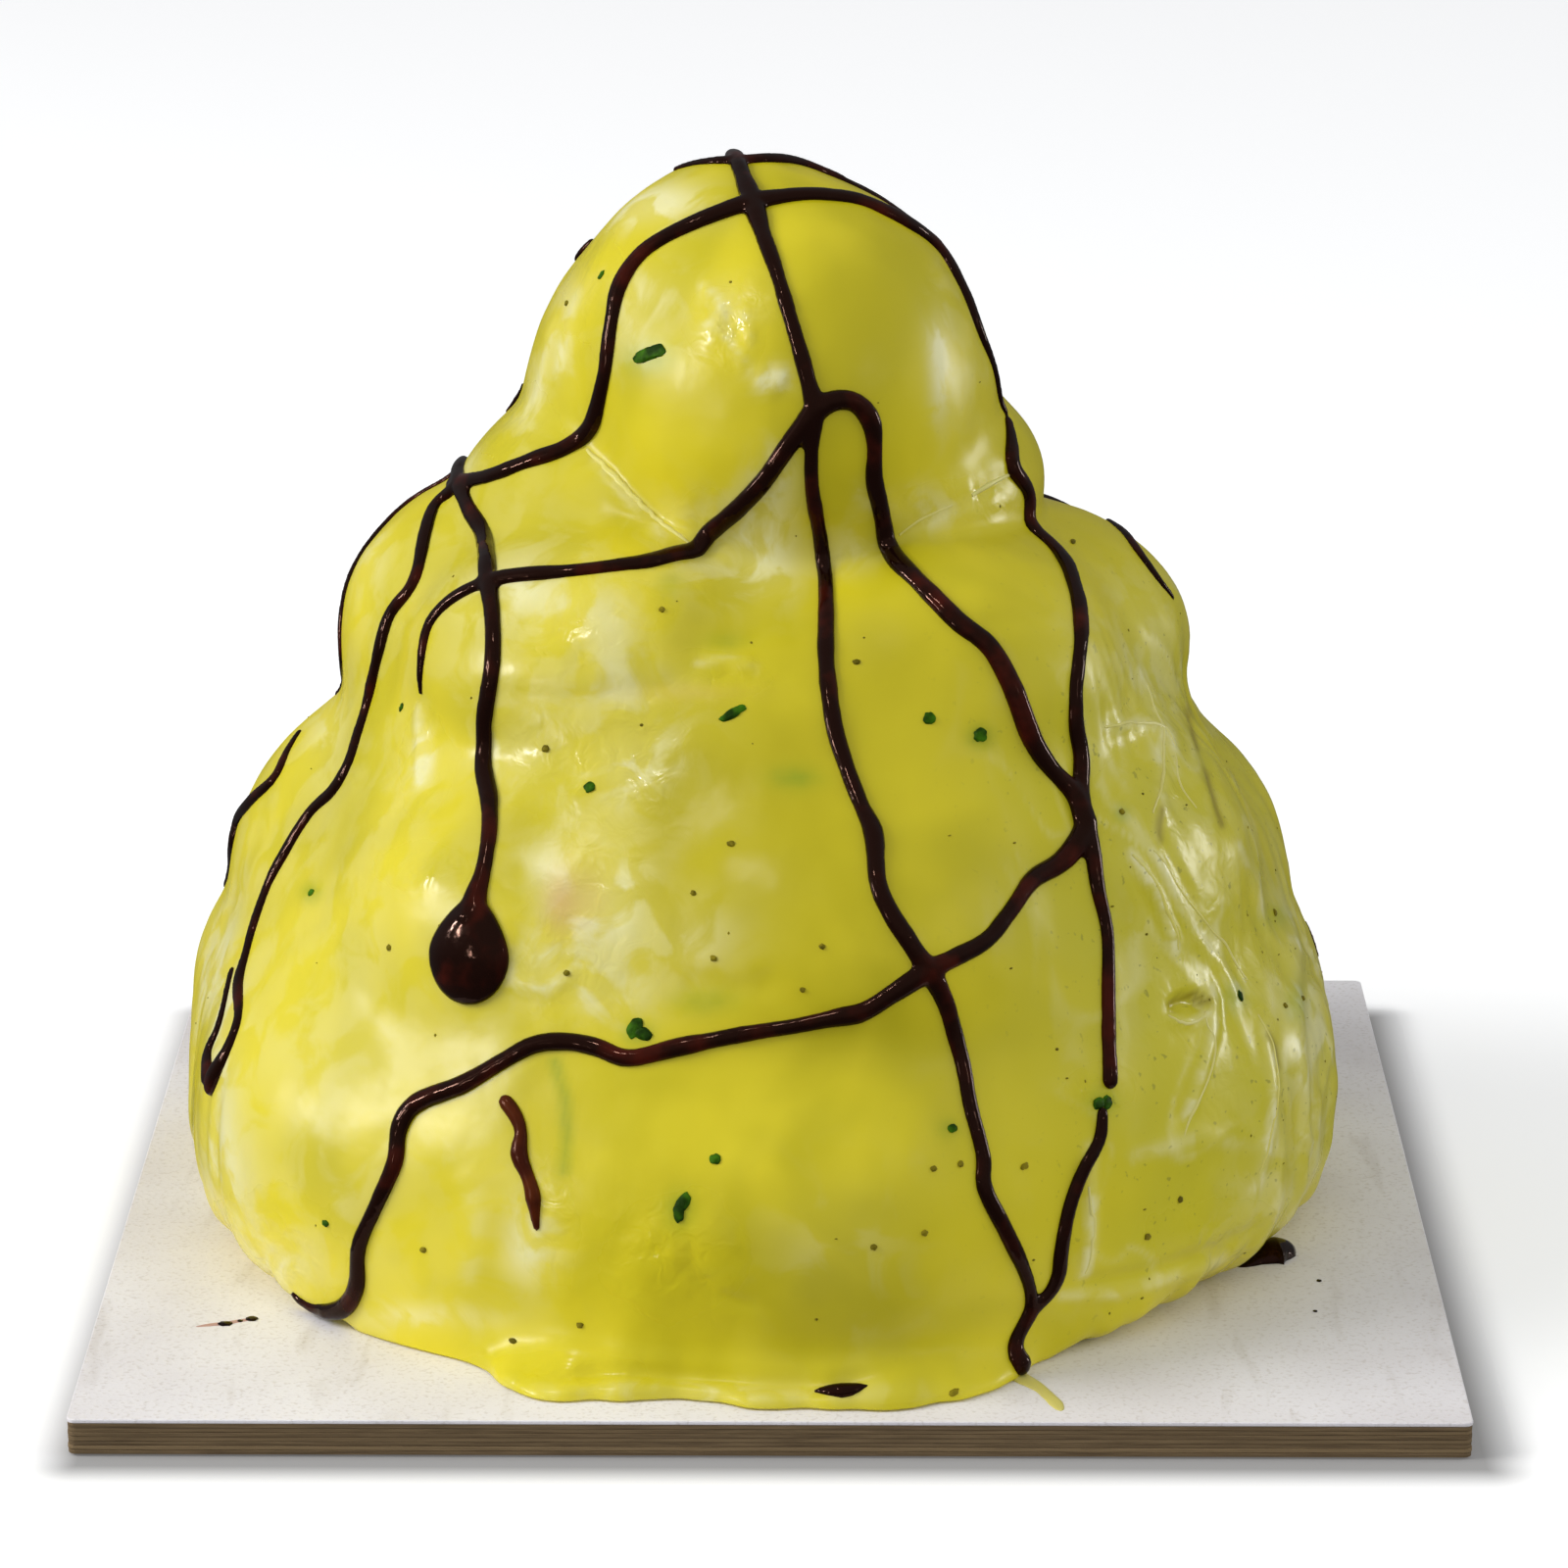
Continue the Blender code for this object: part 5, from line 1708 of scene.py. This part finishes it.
@dataclass
class Studio:
    """Pale floor, soft studio light and the camera."""

    lens_mm: float = 144.47
    floor_half: float = 4.0
    lamps: tuple = (
        Lamp("key", (-1.26, -0.24, 0.84), (0.7, 0.7), 16.0, (1.0, 0.99, 0.98)),
        Lamp("fill", (1.25, -0.05, 0.50), (0.8, 0.7), 3.3, (0.98, 0.99, 1.0)),
        Lamp("front", (0.10, -1.40, 0.10), (0.9, 0.2), 2.0),
        Lamp("wide_window", (-1.00, -0.60, 0.62), (0.45, 0.45), 0.3, glint=True),
        Lamp("window", (-1.12, -0.55, 0.45), (0.05, 0.18), 4.2, glint=True),
        Lamp("low_window", (-0.95, -0.98, 0.20), (0.05, 0.12), 0.9, glint=True),
        Lamp("far_window", (-1.33, -0.25, 0.45), (0.05, 0.12), 3.0, glint=True),
        Lamp("skylight", (-0.40, -0.50, 1.05), (0.06, 0.06), 1.3, glint=True),
        Lamp("rim", (1.25, 0.33, 0.26), (0.08, 0.36), 2.8, glint=True),
        Lamp("right_glint", (0.95, -0.80, 0.60), (0.04, 0.04), 0.3, glint=True),
    )
    aim: Place = (0.0, 0.0, 0.07)
    air_rise: tuple = (-0.35, 0.45)
    air_below: float = 0.22
    air_above: float = 0.54
    air_behind: float = 0.35
    shadow_shift: tuple = (0.0015, -0.0030)
    shadow_reach: float = 0.0085
    shadow_shade: Colour = (0.17, 0.165, 0.16)
    floor_shade: Colour = (0.9, 0.9, 0.9)
    floor_glow: float = 0.42
    floor_drop: float = 0.0003

    def build_floor(self) -> bpy.types.Object:
        """The pale floor, with a contact shadow painted into its colour close to the board."""
        made = Finish("pale_floor", Roughness=0.9, Specular_IOR_Level=0.1)
        split = made.node("ShaderNodeSeparateXYZ", {}, {"Vector": made.place})
        beyond = []
        for axis, shift in zip("XY", self.shadow_shift):
            side = (Value(made.tree, split.outputs[axis]) - shift).math("ABSOLUTE") - BOARD_SIDE / 2
            beyond.append(side.math("MAXIMUM", 0.0))
        gap = (beyond[0] * beyond[0] + beyond[1] * beyond[1]).math("SQRT")
        # Painted contact shadow: the floor's colour and glow darken near the board.
        lit = gap.step(-self.shadow_reach * 0.35, self.shadow_reach)
        shade = made.blend(lit, self.shadow_shade, self.floor_shade)
        made.feeds(Base_Color=shade, Emission_Color=shade, Emission_Strength=self.floor_glow)
        shape = bmesh.new()
        bmesh.ops.create_grid(shape, x_segments=1, y_segments=1, size=self.floor_half)
        floor = plain_mesh("pale_floor", shape, made.material, smooth=False)
        floor.data.transform(Matrix.Translation((0, 0, -self.floor_drop)))
        floor.visible_diffuse = False
        floor.visible_glossy = False
        return floor

    def build_lamps(self) -> None:
        """The lamps and the air around."""
        for lamp in self.lamps:
            lamp.build(Vector(self.aim))
        world = bpy.data.worlds.new("studio_air")
        world.use_nodes = True
        tree = world.node_tree
        place = tree.nodes.new("ShaderNodeTexCoord").outputs["Generated"]
        split = tree.nodes.new("ShaderNodeSeparateXYZ")
        tree.links.new(place, split.inputs[0])
        height = Value(tree, split.outputs["Z"]).step(*self.air_rise)
        behind = Value(tree, split.outputs["Y"]).step(0.1, 0.9)
        ahead = 1.0 - behind * (1 - self.air_behind)
        strength = (height * (self.air_above - self.air_below) + self.air_below) * ahead
        tree.nodes["Background"].inputs[0].default_value = (0.95, 0.97, 1.0, 1.0)
        tree.links.new(strength.socket, tree.nodes["Background"].inputs[1])
        bpy.context.scene.world = world

    def build_camera(self) -> None:
        """The camera at the eye the object was measured from."""
        data = bpy.data.cameras.new("camera")
        data.sensor_width = 36.0
        data.lens = self.lens_mm
        data.clip_end = 20.0
        camera = bpy.data.objects.new("camera", data)
        camera.location = EYE.eye
        camera.rotation_euler = (math.radians(90 - EYE.pitch_deg), 0.0, math.radians(-EYE.yaw_deg))
        bpy.context.scene.collection.objects.link(camera)
        bpy.context.scene.camera = camera


def carry(piece: bpy.types.Object, slot: Slot, *nodes: str) -> None:
    """Makes a piece ride on the body and stand for CAD nodes."""
    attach(piece, BODY)
    if nodes:
        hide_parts(*nodes)
    log.info("%s: %d faces", piece.name, len(piece.data.polygons))


def corners(box: tuple[Vector, Vector]) -> list[list[float]]:
    """A box's lowest and highest corners as plain lists."""
    return [list(corner) for corner in box]


def build_studio() -> None:
    """The camera, the lamps and the floor."""
    bpy.context.scene.view_settings.view_transform = "Standard"
    studio = Studio()
    studio.build_camera()
    studio.build_lamps()
    studio.build_floor()


def build_board() -> None:
    """The board's facing and plies."""
    board = ServingBoard()
    carry(board.build_facing(FacingFinish().make()), Slot.BOARD, BOARD_NODE)
    carry(board.build_plies(PlyFinish().make()), Slot.BOARD, BOARD_NODE)


def build_stack() -> None:
    """The coat with its folds, herbs and chocolate."""
    coat = GlazedStack().build(GlazeFinish().make())
    shape = bmesh.new()
    shape.from_mesh(coat.data)
    under = BVHTree.FromBMesh(shape)
    shape.free()
    # Paler glaze for the fold crests: thin glaze, and a painted highlight along each crest.
    pale = GlazeFinish("fold_glaze", linear(240, 230, 138), linear(232, 220, 104)).make()
    green = HerbFinish("green_herb").make()
    brown_herb = HerbFinish("brown_herb", linear(142, 128, 28), linear(98, 88, 20)).make()
    dark = ChocolateFinish("dark_chocolate").make()
    brown = ChocolateFinish("thin_chocolate", linear(60, 20, 8), linear(96, 42, 12), 0.16).make()
    herbs = HerbFlecks(under)
    pieces = (
        CoatFolds(under).build(pale),
        herbs.build_specks(coat, brown_herb),
        herbs.build_flakes("herb_flakes", herbs.green_flakes, green),
        herbs.build_flakes("herb_flakes_brown", herbs.brown_flakes, brown_herb),
        coat,
        *ChocolateTrails(under).build(dark, brown),
    )
    for piece in pieces:
        carry(piece, Slot.GLAZE, STACK_NODE)


def build_spills() -> None:
    """What has run onto the board."""
    spills = BoardSpills()
    darkest = ChocolateFinish("spilt_chocolate", linear(14, 4, 2), linear(34, 10, 6)).make()
    pink = ChocolateFinish("thin_smear", linear(200, 160, 150), linear(222, 200, 190), 0.45).make()
    thin = GlazeFinish("thin_glaze", linear(228, 216, 120), linear(218, 206, 104)).make()
    carry(spills.build_spots(darkest), Slot.BOARD, BOARD_NODE)
    carry(spills.film("chocolate_side_drop", spills.side_drop, 0.66, darkest), Slot.BOARD, BOARD_NODE)
    carry(spills.film("chocolate_smear", spills.smear, 0.06, pink), Slot.BOARD)
    carry(spills.film("glaze_dribble", spills.dribble, 0.3, thin), Slot.BOARD)


def main() -> None:
    """Builds the scene."""
    logging.basicConfig(level=logging.INFO, format="%(message)s")
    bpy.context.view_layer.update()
    build_studio()
    build_board()
    build_stack()
    build_spills()


if __name__ == "__main__":
    main()
